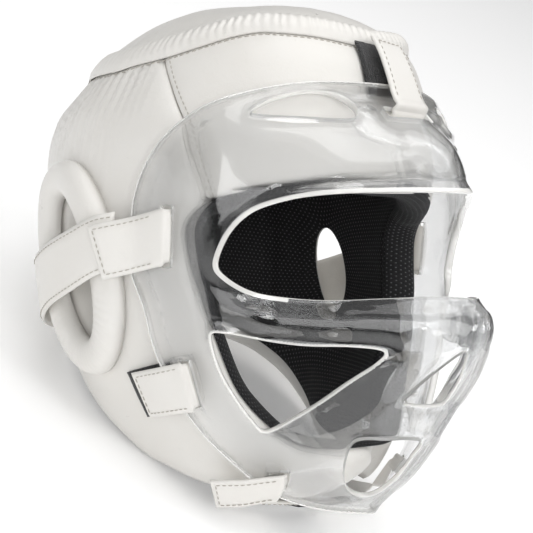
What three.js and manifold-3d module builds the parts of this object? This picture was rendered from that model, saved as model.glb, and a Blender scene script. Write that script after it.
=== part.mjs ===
// Sparring headgear with a clear face shield, resting tipped back on its nape and its jaw.
// Everything is modelled on a level head first: millimetres, +Z up, the face looks along -Y,
// +X is the wearer's left, and the origin is the middle between the two ear holes.
// A place on the head is a turn (degrees about +Z, 0 at the nose, -90 at the right ear) and a height.
import * as THREE from "three";
import { mergeVertices } from "three/addons/utils/BufferGeometryUtils.js";
import Module from "manifold-3d";

const wasm = await Module();
wasm.setup();

// driving dimensions
const PADDING = 16; // thickness of a padded leather panel
const LINING = 2; // thickness of the mesh lining
const SHIELD = 3; // thickness of the moulded clear shell
const STRAP = 2; // thickness of a leather strap or tab
const PATCH = 1.2; // thickness of a hook or loop patch
const GAP = 0.4; // air between pieces that touch
const LINER = PADDING + 1.4; // depth of the lining's outer face
const SEAM = 1; // width of the groove between two panels
const ROLL = 8; // width of the lined roll round the face
const ROLL_TUCK = 1; // how far the roll lies below the leather
const ARC = 1.7; // millimetres along the head in one degree of turn

// Outer form of the padding: half width, reach to the front and to the back, squareness in front.
const HEAD = table(["z", "side", "front", "back", "square"], [
  [-124, 46, 74, 26, 2.1],
  [-105, 62, 88, 42, 2.1],
  [-85, 74, 93, 57, 2.15],
  [-60, 86, 94, 69, 2.2],
  [-30, 95, 96, 80, 2.2],
  [0, 99, 97, 90, 2.2],
  [30, 100, 98, 99, 2.2],
  [55, 98, 99, 105, 2.2],
  [72, 94, 98, 101, 2.2],
  [86, 87, 97, 88, 2.25],
  [97, 81, 94, 77, 2.35],
  [106, 75, 90, 68, 2.5],
  [114, 68, 85, 58, 2.65],
  [122, 58, 77, 46, 2.7],
  [130, 42, 64, 28, 2.5],
]);

// Outer form of the clear shell: its distance from the head's axis at each turn.
const SHELL_TURNS = [0, 8, 22, 38, 50, 62, 76, 95];
const SHELL = table(["z", ...SHELL_TURNS.map((t) => "at" + t)], [
  [95, 102, 101, 99.5, 98, 97, 93, 90, 88],
  [85, 107, 105, 103, 103, 103, 99, 95, 94],
  [75, 119, 114, 110, 108, 109, 104, 100, 99],
  [62, 135, 126, 117, 113, 114, 108, 103, 102],
  [50, 142, 131, 121, 115, 116, 110, 105, 104],
  [35, 146, 135, 123, 117, 117, 111, 106, 105],
  [15, 148, 135, 122, 116, 116, 110, 106, 105],
  [-5, 155, 140, 123, 115, 115, 109, 104, 104],
  [-22, 162, 144, 124, 114, 114, 108, 102, 101],
  [-40, 156, 140, 121, 113, 112, 105, 99, 98],
  [-58, 145, 131, 116, 108, 107, 99, 93, 92],
  [-75, 134, 122, 109, 102, 101, 92, 85, 84],
  [-92, 121, 111, 101, 94, 94, 84, 76, 75],
  [-105, 108, 99, 91, 86, 86, 76, 68, 67],
  [-116, 96, 88, 80, 77, 76, 66, 60, 58],
  [-126, 82, 76, 68, 66, 65, 57, 52, 50],
]);

// Seam under the gathered binding, by turn from the nose.
const CROWN_SEAM = table(["turn", "z"], [
  [0, 112.5], [15, 114.5], [29, 116], [40, 116.5], [48, 114.7], [60, 109.7],
  [74, 104.3], [88, 101], [98, 98.5], [140, 97.5], [180, 97.5],
]);
// The crown's top, how boxy it is, its mean radius and its thickness.
const CROWN_TOP = { y: -22, z: 134, bulge: 3, reach: 72, pad: 10 };

// Lower edge of the padding, by turn from the nose.
const LOWER_EDGE = table(["turn", "z"], [
  [0, -111], [30, -110], [54, -106], [64, -103], [74, -98.5], [83, -94.5],
  [94, -84], [103, -74], [110, -65], [118, -56], [130, -46], [150, -38], [180, -35],
]);

// Lower edge of the mesh, above a hem of leather.
const LINING_EDGE = table(["turn", "z"], [
  [0, -100], [40, -98], [60, -92], [72, -82], [83, -68], [94, -56],
  [106, -45], [120, -38], [150, -31], [180, -29],
]);
const HEM = { tall: 26, thin: 10 }; // where the padding thins towards its lower edge, and by how much

// Seam between the forehead and a side, from the binding down to the face.
const SIDE_SEAM = [[77, 105], [70, 88], [63, 70], [60, 56], [55, 33]];
// Where leather meets mesh round the face, from the brow's middle down to the chin's middle.
const FACE_EDGE = [
  [0, 46], [16, 46], [31, 42.5], [46, 37], [55, 31], [60, 20], [59, 4], [55.5, -14],
  [52, -30], [45, -56], [35, -73], [25, -82], [12, -84], [0, -84],
];

// The ear hole slants back on its way out, so its inner mouth sits nearer the face.
const EAR = { turn: 97.5, inner: 92, z: -1, lean: 13.5, holeWidth: 25, holeHeight: 68,
  mouthHeight: 52, ringWidth: 18, ringHeight: 9 };

// helpers
function table(columns, rows) {
  return rows.map((row) => Object.fromEntries(columns.map((name, i) => [name, row[i]])));
}

// A smooth curve through knots that never overshoots them.
function smooth(xs, ys) {
  const n = xs.length;
  const slope = xs.slice(1).map((x, i) => (ys[i + 1] - ys[i]) / (x - xs[i]));
  const tangent = ys.map((_, i) => {
    if (i === 0) return slope[0];
    if (i === n - 1) return slope[n - 2];
    if (slope[i - 1] * slope[i] <= 0) return 0;
    return (2 * slope[i - 1] * slope[i]) / (slope[i - 1] + slope[i]);
  });
  return (x) => {
    let i = 0;
    while (i < n - 2 && x > xs[i + 1]) i++;
    const h = xs[i + 1] - xs[i];
    const t = Math.min(Math.max((x - xs[i]) / h, -0.5), 1.5);
    if (t < 0) return ys[i] + tangent[i] * h * t;
    if (t > 1) return ys[i + 1] + tangent[i + 1] * h * (t - 1);
    const a = 2 * t ** 3 - 3 * t ** 2 + 1;
    const b = t ** 3 - 2 * t ** 2 + t;
    const c = t ** 3 - t ** 2;
    return a * ys[i] + b * h * tangent[i] + (1 - a) * ys[i + 1] + c * h * tangent[i + 1];
  };
}

function column(rows, key, name) {
  const sorted = [...rows].sort((a, b) => a[key] - b[key]);
  return smooth(sorted.map((row) => row[key]), sorted.map((row) => row[name]));
}

const headSide = column(HEAD, "z", "side");
const headFront = column(HEAD, "z", "front");
const headBack = column(HEAD, "z", "back");
const headSquare = column(HEAD, "z", "square");
const shellAt = SHELL_TURNS.map((t) => column(SHELL, "z", "at" + t));
const seamHeight = column(CROWN_SEAM, "turn", "z");
const lowerEdge = column(LOWER_EDGE, "turn", "z");
const liningEdge = column(LINING_EDGE, "turn", "z");
const hemmed = (turn, z) => {
  const share = 1 - (z - lowerEdge(fold(turn))) / HEM.tall;
  return fold(turn) < 50 ? 0 : HEM.thin * Math.min(Math.max(share, 0), 1) ** 1.5;
};
const radians = THREE.MathUtils.degToRad;
const fold = (turn) => Math.abs(((turn + 540) % 360) - 180);

function headRadius(turn, z) {
  const t = radians(turn);
  const ahead = Math.cos(t) > 0;
  const n = ahead ? headSquare(z) : 2;
  const reach = ahead ? headFront(z) : headBack(z);
  return (Math.abs(Math.sin(t) / headSide(z)) ** n + Math.abs(Math.cos(t) / reach) ** n) ** (-1 / n);
}

function shellRadius(turn, z) {
  const at = shellAt.map((f) => f(z));
  return smooth([-SHELL_TURNS[1], ...SHELL_TURNS], [at[1], ...at])(Math.min(fold(turn), 95));
}

// A surface gives the point at a turn and height, lifted along its outward normal.
function surface(radius) {
  const at = (turn, z) => {
    const r = radius(turn, z);
    return new THREE.Vector3(r * Math.sin(radians(turn)), -r * Math.cos(radians(turn)), z);
  };
  return (turn, z, lift = 0) => {
    const around = at(turn + 0.6, z).sub(at(turn - 0.6, z));
    const up = at(turn, z + 0.6).sub(at(turn, z - 0.6));
    return at(turn, z).addScaledVector(around.cross(up).normalize(), lift);
  };
}
const onHead = surface(headRadius);
const onShell = surface(shellRadius);

function geometry(points, faces) {
  const g = new THREE.BufferGeometry();
  g.setAttribute("position", new THREE.Float32BufferAttribute(points.flatMap((p) => [p.x, p.y, p.z]), 3));
  g.setIndex(faces.flat());
  return g;
}

// A smooth line through [turn, z] places, read by its share of the way.
function line(places, closed = false) {
  const points = places.map(([turn, z]) => new THREE.Vector3(turn * ARC, z, 0));
  const path = new THREE.CatmullRomCurve3(points, closed, "centripetal");
  return (k) => {
    const p = path.getPointAt(Math.min(Math.max(k, 0), 1));
    return [p.x / ARC, p.y];
  };
}
// Straight stretches from knot to knot, each with the same share of the way.
const knots = (places) => (k) => {
  const i = Math.min(Math.floor(k * (places.length - 1)), places.length - 2);
  const t = k * (places.length - 1) - i;
  return [0, 1].map((axis) => places[i][axis] + (places[i + 1][axis] - places[i][axis]) * t);
};
const straight = (a, b) => (k) => [a[0] + (b[0] - a[0]) * k, a[1] + (b[1] - a[1]) * k];

// A closed plate over a four-sided patch. top and bottom run the same way, left and right go down.
// under and over give the lift of its two faces at a place; soft draws the rim of the outer face in.
function plate({ on, top, bottom, left, right, across, down, under, over, soft = 0 }) {
  const low = typeof under === "function" ? under : () => under;
  const high = typeof over === "function" ? over : () => over;
  const place = (u, v) => [0, 1].map((i) =>
    (1 - v) * top(u)[i] + v * bottom(u)[i] + (1 - u) * left(v)[i] + u * right(v)[i]
    - (1 - u) * (1 - v) * top(0)[i] - u * (1 - v) * top(1)[i]
    - (1 - u) * v * bottom(0)[i] - u * v * bottom(1)[i]);
  const step = (i, n) => (soft && n > 3 ? [0, 0.3 / n, ...range(n - 3, (k) => (k + 1) / (n - 2)),
    1 - 0.3 / n, 1][i] : i / n);
  const points = [];
  const width = across + 1;
  const size = width * (down + 1);
  for (const outer of [false, true])
    for (let j = 0; j <= down; j++)
      for (let i = 0; i <= across; i++) {
        const [turn, z] = place(step(i, across), step(j, down));
        const rim = i === 0 || j === 0 || i === across || j === down;
        const lift = outer ? high(turn, z) - (rim ? soft : 0) : low(turn, z);
        points.push(on(turn, z, lift));
      }
  const faces = [];
  const quad = (a, b, c, d) => faces.push([a, b, c], [a, c, d]);
  for (let j = 0; j < down; j++)
    for (let i = 0; i < across; i++) {
      const a = j * width + i;
      quad(a, a + 1, a + 1 + width, a + width);
      quad(size + a, size + a + width, size + a + 1 + width, size + a + 1);
    }
  const border = [
    ...range(across, (i) => i),
    ...range(down, (j) => j * width + across),
    ...range(across, (i) => down * width + across - i),
    ...range(down, (j) => (down - j) * width),
  ];
  border.forEach((a, i) => {
    const b = border[(i + 1) % border.length];
    quad(a, size + a, size + b, b);
  });
  return facingOut(geometry(points, faces));
}

function range(n, f) {
  return Array.from({ length: n }, (_, i) => f(i));
}

// A rectangle of turns and heights as a plate.
function tile({ on, turns, heights, ...rest }) {
  const [a, b] = turns;
  const [lo, hi] = heights;
  return plate({
    on, ...rest,
    top: straight([a, hi], [b, hi]), bottom: straight([a, lo], [b, lo]),
    left: straight([a, hi], [a, lo]), right: straight([b, hi], [b, lo]),
  });
}

// A closed roll that follows a closed outline: the section is [inward, lift] pairs.
function roll({ on, outline, steps, section, path = line(outline, true) }) {
  const at = path;
  const points = [];
  for (let i = 0; i < steps; i++) {
    const [turn, z] = at(i / steps);
    const [t0, z0] = at(((i + steps - 0.5) % steps) / steps);
    const [t1, z1] = at(((i + 0.5) % steps) / steps);
    const dt = ((t1 - t0 + 540) % 360) - 180;
    const long = Math.hypot(dt * ARC, z1 - z0);
    const inward = [(z1 - z0) / long, (-dt * ARC) / long];
    for (const [d, lift] of section)
      points.push(on(turn + (inward[0] * d) / ARC, z + inward[1] * d, lift));
  }
  return tube(points, steps, section.length);
}

function tube(points, steps, sides) {
  const faces = [];
  for (let i = 0; i < steps; i++)
    for (let j = 0; j < sides; j++) {
      const a = i * sides + j;
      const b = i * sides + ((j + 1) % sides);
      const c = ((i + 1) % steps) * sides + ((j + 1) % sides);
      const d = ((i + 1) % steps) * sides + j;
      faces.push([a, b, c], [a, c, d]);
    }
  return facingOut(geometry(points, faces));
}

function facingOut(g) {
  const p = g.attributes.position;
  const index = g.index.array;
  const [a, b, c] = [new THREE.Vector3(), new THREE.Vector3(), new THREE.Vector3()];
  let volume = 0;
  for (let i = 0; i < index.length; i += 3) {
    a.fromBufferAttribute(p, index[i]);
    b.fromBufferAttribute(p, index[i + 1]);
    c.fromBufferAttribute(p, index[i + 2]);
    volume += a.dot(b.cross(c));
  }
  if (volume < 0)
    for (let i = 0; i < index.length; i += 3) [index[i + 1], index[i + 2]] = [index[i + 2], index[i + 1]];
  return g;
}

function solid(g) {
  const bare = g.clone();
  bare.deleteAttribute("normal");
  bare.deleteAttribute("uv");
  const merged = mergeVertices(bare, 1e-4);
  return new wasm.Manifold(new wasm.Mesh({
    numProp: 3,
    vertProperties: new Float32Array(merged.attributes.position.array),
    triVerts: new Uint32Array(merged.index.array),
  }));
}

function fromSolid(body) {
  const mesh = body.getMesh();
  const g = new THREE.BufferGeometry();
  g.setAttribute("position", new THREE.BufferAttribute(new Float32Array(mesh.vertProperties), 3));
  g.setIndex([...mesh.triVerts]);
  return g;
}

const join = (...parts) => fromSolid(parts.map(solid).reduce((a, b) => a.add(b)));
const cut = (from, ...tools) => fromSolid(tools.map(solid).reduce((a, b) => a.subtract(b), solid(from)));

const ellipse = (turn, z, halfWidth, halfHeight, lean, count = 20) => range(count, (i) => {
  const a = (2 * Math.PI * i) / count;
  const x = halfWidth * Math.cos(a);
  const y = halfHeight * Math.sin(a);
  const tip = radians(lean);
  return [turn + (x * Math.cos(tip) + y * Math.sin(tip)) / ARC, z + y * Math.cos(tip) - x * Math.sin(tip)];
});

// A cutter over any closed outline that is seen whole from its own middle.
function cutter(on, outline, under, over, inner = outline) {
  const middle = (places) => [0, 1].map((i) => places.reduce((sum, p) => sum + p[i], 0) / places.length);
  const points = [];
  for (const [places, lift] of [[inner, under], [outline, over]]) {
    points.push(on(...middle(places), lift));
    for (const p of places) points.push(on(...p, lift));
  }
  const n = outline.length;
  const faces = [];
  for (let i = 0; i < n; i++) {
    const a = 1 + i;
    const b = 1 + ((i + 1) % n);
    faces.push([0, a, b], [n + 1, n + 1 + b, n + 1 + a]);
    faces.push([a, n + 1 + a, n + 1 + b], [a, n + 1 + b, b]);
  }
  return facingOut(geometry(points, faces));
}

const group = new THREE.Group();
const looks = {
  leather: { color: 0xe4e2dd, roughness: 0.42, metalness: 0 },
  mesh: { color: 0x15151a, roughness: 0.85, metalness: 0 },
  hook: { color: 0x101012, roughness: 0.95, metalness: 0 },
  clear: { color: 0xe6eaec, roughness: 0.08, metalness: 0, transparent: true, opacity: 0.35 },
};

function add(name, look, g) {
  const flat = g.index ? g : mergeVertices(g);
  flat.computeVertexNormals();
  const mesh = new THREE.Mesh(flat, new THREE.MeshStandardMaterial(looks[look]));
  mesh.name = name;
  group.add(mesh);
}

// The wearer's right is at minus turns; the left is its mirror image.
function pair(name, look, make) {
  for (const [side, sign] of [["right", -1], ["left", 1]]) add(name + "_" + side, look, make(sign));
}
const mirrored = (places, sign) => places.map(([turn, z]) => [turn * sign, z]);

// padded leather
const faceSide = FACE_EDGE.filter(([, z]) => z < 32);
const browEdge = FACE_EDGE.filter(([, z]) => z > 32);
const seamGap = SEAM / ARC;

function foreheadPanel() {
  const seam = SIDE_SEAM.map(([turn, z]) => [turn - seamGap / 2, z]);
  const corner = [seam.at(-1)[0], seam.at(-1)[1]];
  const brow = [...browEdge.slice(1).reverse().map(([t, z]) => [-t, z]), ...browEdge];
  return plate({
    on: onHead,
    top: (k) => { const t = seam[0][0] * (2 * k - 1); return [t, seamHeight(Math.abs(t)) - SEAM / 2]; },
    bottom: knots([[-corner[0], corner[1]], ...brow, corner]),
    left: line([[-seam[0][0], seamHeight(seam[0][0]) - SEAM / 2], ...mirrored(seam.slice(1), -1)]),
    right: line([[seam[0][0], seamHeight(seam[0][0]) - SEAM / 2], ...seam.slice(1)]),
    across: 16, down: 5, under: -PADDING, over: 0,
  });
}

// The chin end is thinner, because the right end laps over the left one.
const LAP = { turn: 5, start: 38, cover: 5.4, under: 10.6 };
function sidePanel(sign) {
  const over = sign < 0;
  const tip = over ? -LAP.turn : 13;
  const blend = (turn) => THREE.MathUtils.smoothstep(LAP.start - turn * sign, 0, 7);
  const seam = SIDE_SEAM.map(([turn, z]) => [turn + seamGap / 2, z]);
  const front = [
    [seam[0][0], seamHeight(seam[0][0]) - SEAM / 2], ...seam.slice(1),
    ...faceSide.slice(1, -1),
  ];
  const chin = over
    ? [[tip + 4, -84.2], [tip, -89], [tip, -95], [tip + 9, -103]]
    : [[tip + 3, -85], [tip, -92], [tip + 1, -100], [tip + 8, -106]];
  const rim = [...front, ...chin];
  const end = rim.at(-1);
  const body = plate({
    on: onHead,
    top: (k) => {
      const t = front[0][0] + (180 - seamGap / 2 - front[0][0]) * k;
      return [t * sign, seamHeight(t) - SEAM / 2];
    },
    bottom: (k) => {
      const t = end[0] + (180 - seamGap / 2 - end[0]) * k;
      const low = lowerEdge(t);
      const ease = THREE.MathUtils.smoothstep(t, end[0], end[0] + 16);
      return [t * sign, end[1] + (low - end[1]) * ease];
    },
    left: knots(mirrored(rim, sign)),
    right: (k) => [(180 - seamGap / 2) * sign, seamHeight(180) - SEAM / 2
      + (lowerEdge(180) - seamHeight(180)) * k],
    across: 13, down: rim.length - 1,
    under: (turn, z) => -PADDING + hemmed(turn, z)
      + (over ? PADDING - LAP.cover - 0.6 : 1.4) * blend(turn),
    over: (turn) => -(over ? 0.6 : LAP.under) * blend(turn),
  });
  return cut(body, earCutter(sign));
}

const earHole = (turn, sign, height) => ellipse(turn * sign, EAR.z, EAR.holeWidth / 2, height / 2,
  EAR.lean * sign, 16);
const earCutter = (sign) => cutter(onHead, earHole(EAR.turn, sign, EAR.holeHeight), -LINER - LINING - 3, 3,
  earHole(EAR.inner, sign, EAR.mouthHeight));

function earRing(sign) {
  const half = EAR.ringWidth / 2;
  const middle = ellipse(EAR.turn * sign, EAR.z, EAR.holeWidth / 2 + half + 1,
    EAR.holeHeight / 2 + half + 1, EAR.lean * sign, 16);
  const section = range(7, (i) => {
    const a = (Math.PI * i) / 6;
    return [-half * Math.cos(a), 2 * GAP + EAR.ringHeight * Math.sin(a) ** 0.8];
  });
  return roll({ on: onHead, outline: middle, steps: 26, section });
}

// crown
// The dome starts at the seam and closes over the top.
function crownPoint(turn, s, lift) {
  const rim = onHead(turn, seamHeight(fold(turn)) + SEAM / 2, 0);
  const at = (share) => new THREE.Vector3(
    rim.x * share,
    CROWN_TOP.y + (rim.y - CROWN_TOP.y) * share,
    CROWN_TOP.z - (CROWN_TOP.z - rim.z) * share ** CROWN_TOP.bulge,
  );
  const out = new THREE.Vector3(Math.sin(radians(turn)), -Math.cos(radians(turn)), 0);
  const along = at(Math.min(s + 0.02, 1.02)).sub(at(s - 0.02)).normalize();
  const normal = new THREE.Vector3(0, 0, 1).multiplyScalar(Math.hypot(along.x, along.y))
    .addScaledVector(out, -along.z).normalize();
  return at(s).addScaledVector(normal, lift);
}

function crownPad() {
  const turns = 24;
  const rings = [1, 0.96, 0.82, 0.6, 0.3];
  const points = [];
  for (const [lift, first] of [[0, -1.6], [-CROWN_TOP.pad, -CROWN_TOP.pad]])
    rings.forEach((s, r) => range(turns, (i) =>
      points.push(crownPoint((360 * i) / turns, lift ? s * 0.95 : s, r === 0 ? first : lift))));
  const topCentre = points.push(crownPoint(0, 0.001, 0)) - 1;
  const lowCentre = points.push(crownPoint(0, 0.001, -CROWN_TOP.pad)) - 1;
  points[topCentre].set(0, CROWN_TOP.y, CROWN_TOP.z);
  points[lowCentre].set(0, CROWN_TOP.y, CROWN_TOP.z - CROWN_TOP.pad);
  const faces = [];
  const layer = rings.length * turns;
  for (let i = 0; i < turns; i++) {
    const n = (i + 1) % turns;
    for (const [base, flip] of [[0, false], [layer, true]]) {
      for (let r = 0; r < rings.length - 1; r++) {
        const [a, b, c, d] = [base + r * turns + i, base + r * turns + n,
          base + (r + 1) * turns + n, base + (r + 1) * turns + i];
        faces.push(...(flip ? [[a, c, b], [a, d, c]] : [[a, b, c], [a, c, d]]));
      }
      const last = base + (rings.length - 1) * turns;
      const centre = flip ? lowCentre : topCentre;
      faces.push(flip ? [last + i, centre, last + n] : [last + i, last + n, centre]);
    }
    faces.push([i, layer + i, layer + n], [i, layer + n, n]);
  }
  return facingOut(geometry(points, faces));
}

// Gathered leather over the seam, with a pucker every second step.
const BINDING = { below: 1, above: 6.5, rise: 4.2, pucker: 0.5, steps: 36 };
function crownBinding() {
  const points = [];
  for (let i = 0; i < BINDING.steps; i++) {
    const turn = (360 * i) / BINDING.steps;
    const z = seamHeight(fold(turn));
    const out = BINDING.rise + (i % 2 ? BINDING.pucker : -BINDING.pucker);
    const section = [
      [-BINDING.below, 0.5], [-0.6, 0.55], [1.5, 0.95], [4, 1], [5.8, 0.7], [BINDING.above, 0.5],
    ];
    section.forEach(([d, share], k) => {
      const lift = k === 0 || k === 5 ? 2 * GAP : out * share;
      points.push(d < 0 ? onHead(turn, z + d, lift) : crownPoint(turn, 1 - d / CROWN_TOP.reach, lift));
    });
  }
  return tube(points, BINDING.steps, 6);
}

// lining
const both = (half) => [...half.map(([t, z]) => [-t, z]), ...half.slice(0, -1).reverse()];
const faceTop = FACE_EDGE.filter(([, z]) => z >= 20);
const faceLow = FACE_EDGE.filter(([, z]) => z <= 20);
const faceLoop = [
  ...FACE_EDGE.slice(0, -1), ...FACE_EDGE.slice(1).reverse().map(([t, z]) => [-t, z]),
];

function liningShell() {
  const turns = 32;
  const down = 6;
  const points = [];
  for (const depth of [-LINER, -LINER - LINING])
    for (let j = 0; j <= down; j++)
      for (let i = 0; i < turns; i++) {
        const turn = (360 * i) / turns - 180;
        const top = seamHeight(fold(turn)) - 3;
        const low = liningEdge(fold(turn));
        const z = top + ((low - top) * j) / down;
        points.push(onHead(turn, z, depth + 0.8 * hemmed(turn, z)));
      }
  const layer = turns * (down + 1);
  const faces = [];
  const quad = (a, b, c, d) => faces.push([a, b, c], [a, c, d]);
  for (let i = 0; i < turns; i++) {
    const n = (i + 1) % turns;
    for (let j = 0; j < down; j++) {
      const [a, b, c, d] = [j * turns + i, j * turns + n, (j + 1) * turns + n, (j + 1) * turns + i];
      quad(a, d, c, b);
      quad(layer + a, layer + b, layer + c, layer + d);
    }
    quad(i, n, layer + n, layer + i);
    const l = down * turns;
    quad(l + i, layer + l + i, layer + l + n, l + n);
  }
  return facingOut(geometry(points, faces));
}

function meshLining() {
  return cut(
    liningShell(),
    plate({
      on: onHead, top: line(both(faceTop.reverse())), bottom: line(both(faceLow)),
      left: straight([-60, 20], [-60, 20]), right: straight([60, 20], [60, 20]),
      across: 16, down: 3, under: -LINER - LINING - 4, over: -LINER + 4,
    }),
    ...[-1, 1].map(earCutter),
  );
}

// The padded edge round the face, covered with the same mesh.
const faceRoll = () => roll({
  on: onHead, path: knots([...faceLoop, faceLoop[0]]), steps: 2 * faceLoop.length,
  section: [[SEAM, -ROLL_TUCK], [ROLL * 0.75, -ROLL_TUCK - 2.5], [ROLL, -9],
    [ROLL * 0.75, -LINER], [SEAM, -LINER - LINING]],
});

// face shield
const SHIELD_TOP = [[74, 26], [73, 35], [71, 46], [66, 60], [59, 71], [52, 78], [42, 84], [30, 88.5],
  [16, 90.5], [0, 91]];
const SHIELD_SIDE = [[74, 26], [74, 8], [74, -4], [70, -20], [67, -38], [61, -60], [53, -77], [45, -90]];
const SHIELD_LOW = [[45, -90], [38, -99], [29, -107], [15, -113], [0, -115]];
const EYE_TOP = [[50.5, 3], [48.5, 15], [45, 24], [40, 30], [30, 35.5], [16, 38.5], [0, 40]];
const EYE_LOW = [[50.5, 3], [48.5, -3], [43, -9], [36, -11.5], [26, -12], [14, -9.5], [6, -7.5], [0, -7.5]];
const CHEEK_HOLE = [[51.5, -30], [48, -28.5], [40, -31], [30, -33], [20, -33], [14.5, -34.5], [15.5, -40],
  [20, -49], [26, -60], [33, -70], [37, -73.5], [39.5, -71], [44.5, -60], [49, -46]];
const MOUTH_VENT = [[3.2, -32.5], [2.6, -40], [2.4, -52], [3.4, -58.5], [8.6, -58.5], [8, -53], [6.2, -44]];
const CHIN_VENT = [[3, -76], [9, -76], [14.5, -76.5], [16, -82], [15, -93], [12, -101], [7, -105.5],
  [4, -104], [2.8, -96], [2.8, -85]];
const TOP_VENT = [[44, 71.5], [41, 77], [36, 81], [30, 84], [23.5, 84], [19.5, 81.5], [17.5, 77],
  [18.5, 72.5], [22, 71], [32, 71]];
const SLOT = {
  temple: [[65.4, 0], [65.4, 29], [62.4, 29], [62.4, 0]],
  cheek: [[60.2, -43], [57.2, -42], [54, -64], [57, -65]],
  chin: [[31.5, -94], [28.5, -94], [28, -103], [31, -103]],
  brow: [[-9, 75], [0, 75], [9, 75], [9, 80], [0, 80], [-9, 80]],
};

function faceShield() {
  const body = plate({
    on: onShell,
    top: line(both(SHIELD_TOP)), bottom: line(both(SHIELD_LOW)),
    left: line(mirrored(SHIELD_SIDE, -1)), right: line(SHIELD_SIDE),
    across: 24, down: 17, under: -SHIELD, over: 0,
  });
  const bands = eyeBands();
  const holes = [CHEEK_HOLE, MOUTH_VENT, CHIN_VENT, TOP_VENT, SLOT.temple, SLOT.cheek, SLOT.chin];
  const tools = [-1, 1].flatMap((sign) =>
    holes.map((h) => cutter(onShell, mirrored(h, sign), -SHIELD - 4, 4)));
  return cut(body, ...bands, cutter(onShell, SLOT.brow, -SHIELD - 3, 3), ...tools);
}

// The eye opening runs round half the head, so it is cut by one deep plate that follows it.
function eyeBands() {
  return [plate({
    on: onShell, top: line(both(EYE_TOP)), bottom: line(both(EYE_LOW)),
    left: straight([-50.5, 3], [-50.5, 3]), right: straight([50.5, 3], [50.5, 3]),
    across: 20, down: 2, under: -SHIELD - 3, over: 3,
  })];
}

// straps, tabs and patches
const BAND = table(["turn", "mid", "width", "lift"], [
  [78, 12, 27, 7.4], [82, 10, 27.5, 11.1], [86, 7, 28, 11.9], [93, 1.5, 28.5, 12], [101, -4, 29, 12],
  [110, -10, 30, 11], [117, -14, 31, 8.5], [126, -18, 31, 2.5], [140, -20, 31, 0.8], [180, -19, 31, 0.8],
]);
function backStrap() {
  const mid = column(BAND, "turn", "mid");
  const wide = column(BAND, "turn", "width");
  const rise = column(BAND, "turn", "lift");
  const edge = (share) => (k) => {
    const turn = BAND[0].turn + (360 - 2 * BAND[0].turn) * k;
    return [turn, mid(fold(turn)) + share * wide(fold(turn))];
  };
  return plate({
    on: onHead, top: edge(0.5), bottom: edge(-0.5),
    left: straight(edge(0.5)(0), edge(-0.5)(0)), right: straight(edge(0.5)(1), edge(-0.5)(1)),
    across: 36, down: 1, under: (turn) => rise(fold(turn)), over: (turn) => rise(fold(turn)) + STRAP,
  });
}

const lifts = (rows) => smooth(rows.map((r) => r[0]), rows.map((r) => r[1]));

// A tab lies on the shell, turns in through its slot and comes back under the shell.
function tab({ sign, corners, rise, slot, back, steps = 5 }) {
  const [a, b, c, d] = mirrored(corners, sign);
  const lift = lifts(rise);
  const [e, f] = mirrored(slot, sign);
  const inward = sign * back;
  const outer = plate({
    on: onShell, top: straight(a, b), bottom: straight(d, c), left: straight(a, d), right: straight(b, c),
    across: steps, down: 1, under: (turn) => lift(turn * sign), over: (turn) => lift(turn * sign) + STRAP,
  });
  const through = plate({
    on: onShell,
    top: straight([e[0] + inward * 0.9, e[1]], e),
    bottom: straight([f[0] + inward * 0.9, f[1]], f),
    left: straight([e[0] + inward * 0.9, e[1]], [f[0] + inward * 0.9, f[1]]), right: straight(e, f),
    across: 1, down: 1, under: -SHIELD - 1.4, over: lift(slot[0][0]) + STRAP * 0.6,
  });
  const under = plate({
    on: onShell,
    top: straight([e[0] + inward * 4, e[1]], e),
    bottom: straight([f[0] + inward * 4, f[1]], f),
    left: straight([e[0] + inward * 4, e[1]], [f[0] + inward * 4, f[1]]), right: straight(e, f),
    across: 2, down: 1, under: -SHIELD - 1.5, over: -SHIELD - 0.4,
  });
  return join(outer, through, under);
}

const templeTab = (sign) => tab({
  sign, corners: [[84, 18], [63, 28], [63, 1.5], [80, -6]],
  rise: [[62, 0.6], [71, 0.7], [74.5, 2.4], [78, 5.2], [81, 7.8], [85, 9]],
  slot: [[63, 27], [63, 2.5]], back: 1,
});
const cheekTab = (sign) => tab({
  sign, corners: [[76.5, -51], [58, -42.5], [54.5, -65], [71.7, -71.5]],
  rise: [[53, 0.6], [66, 0.6], [70, -0.4], [78, -2.2]],
  slot: [[58, -43.6], [54.8, -63.8]], back: 1,
});
const chinTab = (sign) => tab({
  sign, corners: [[52, -100], [29, -94], [29, -107], [50, -114]],
  rise: [[27, 0.6], [40, 0.6], [46, -0.6], [53, -2.4]],
  slot: [[29.6, -95], [29.2, -102.4]], back: 0.9,
});

const BROW_TAB = { half: 6.6, top: 110.5, low: 78, patchHalf: 9.6, patchTop: 110, patchLow: 84 };
function foreheadTab() {
  const rise = lifts([[77, 18.6], [80, 15], [85, 12], [90, 10.4], [97, 9.2], [106, 7.8], [114, 6]]);
  const outer = tile({
    on: onHead, turns: [-BROW_TAB.half, BROW_TAB.half], heights: [BROW_TAB.low, BROW_TAB.top],
    across: 2, down: 7, under: (turn, z) => rise(z), over: (turn, z) => rise(z) + STRAP,
  });
  const through = tile({
    on: onShell, turns: [-BROW_TAB.half, BROW_TAB.half], heights: [BROW_TAB.low - 0.6, BROW_TAB.low + 1.1],
    across: 2, down: 1, under: -SHIELD - 1.4, over: 2,
  });
  return join(outer, through);
}

const patch = (corners, on = onHead) => plate({
  on, top: straight(corners[0], corners[1]), bottom: straight(corners[3], corners[2]),
  left: straight(corners[0], corners[3]), right: straight(corners[1], corners[2]),
  across: 4, down: 2, under: 2 * GAP, over: 2 * GAP + PATCH,
});

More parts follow.
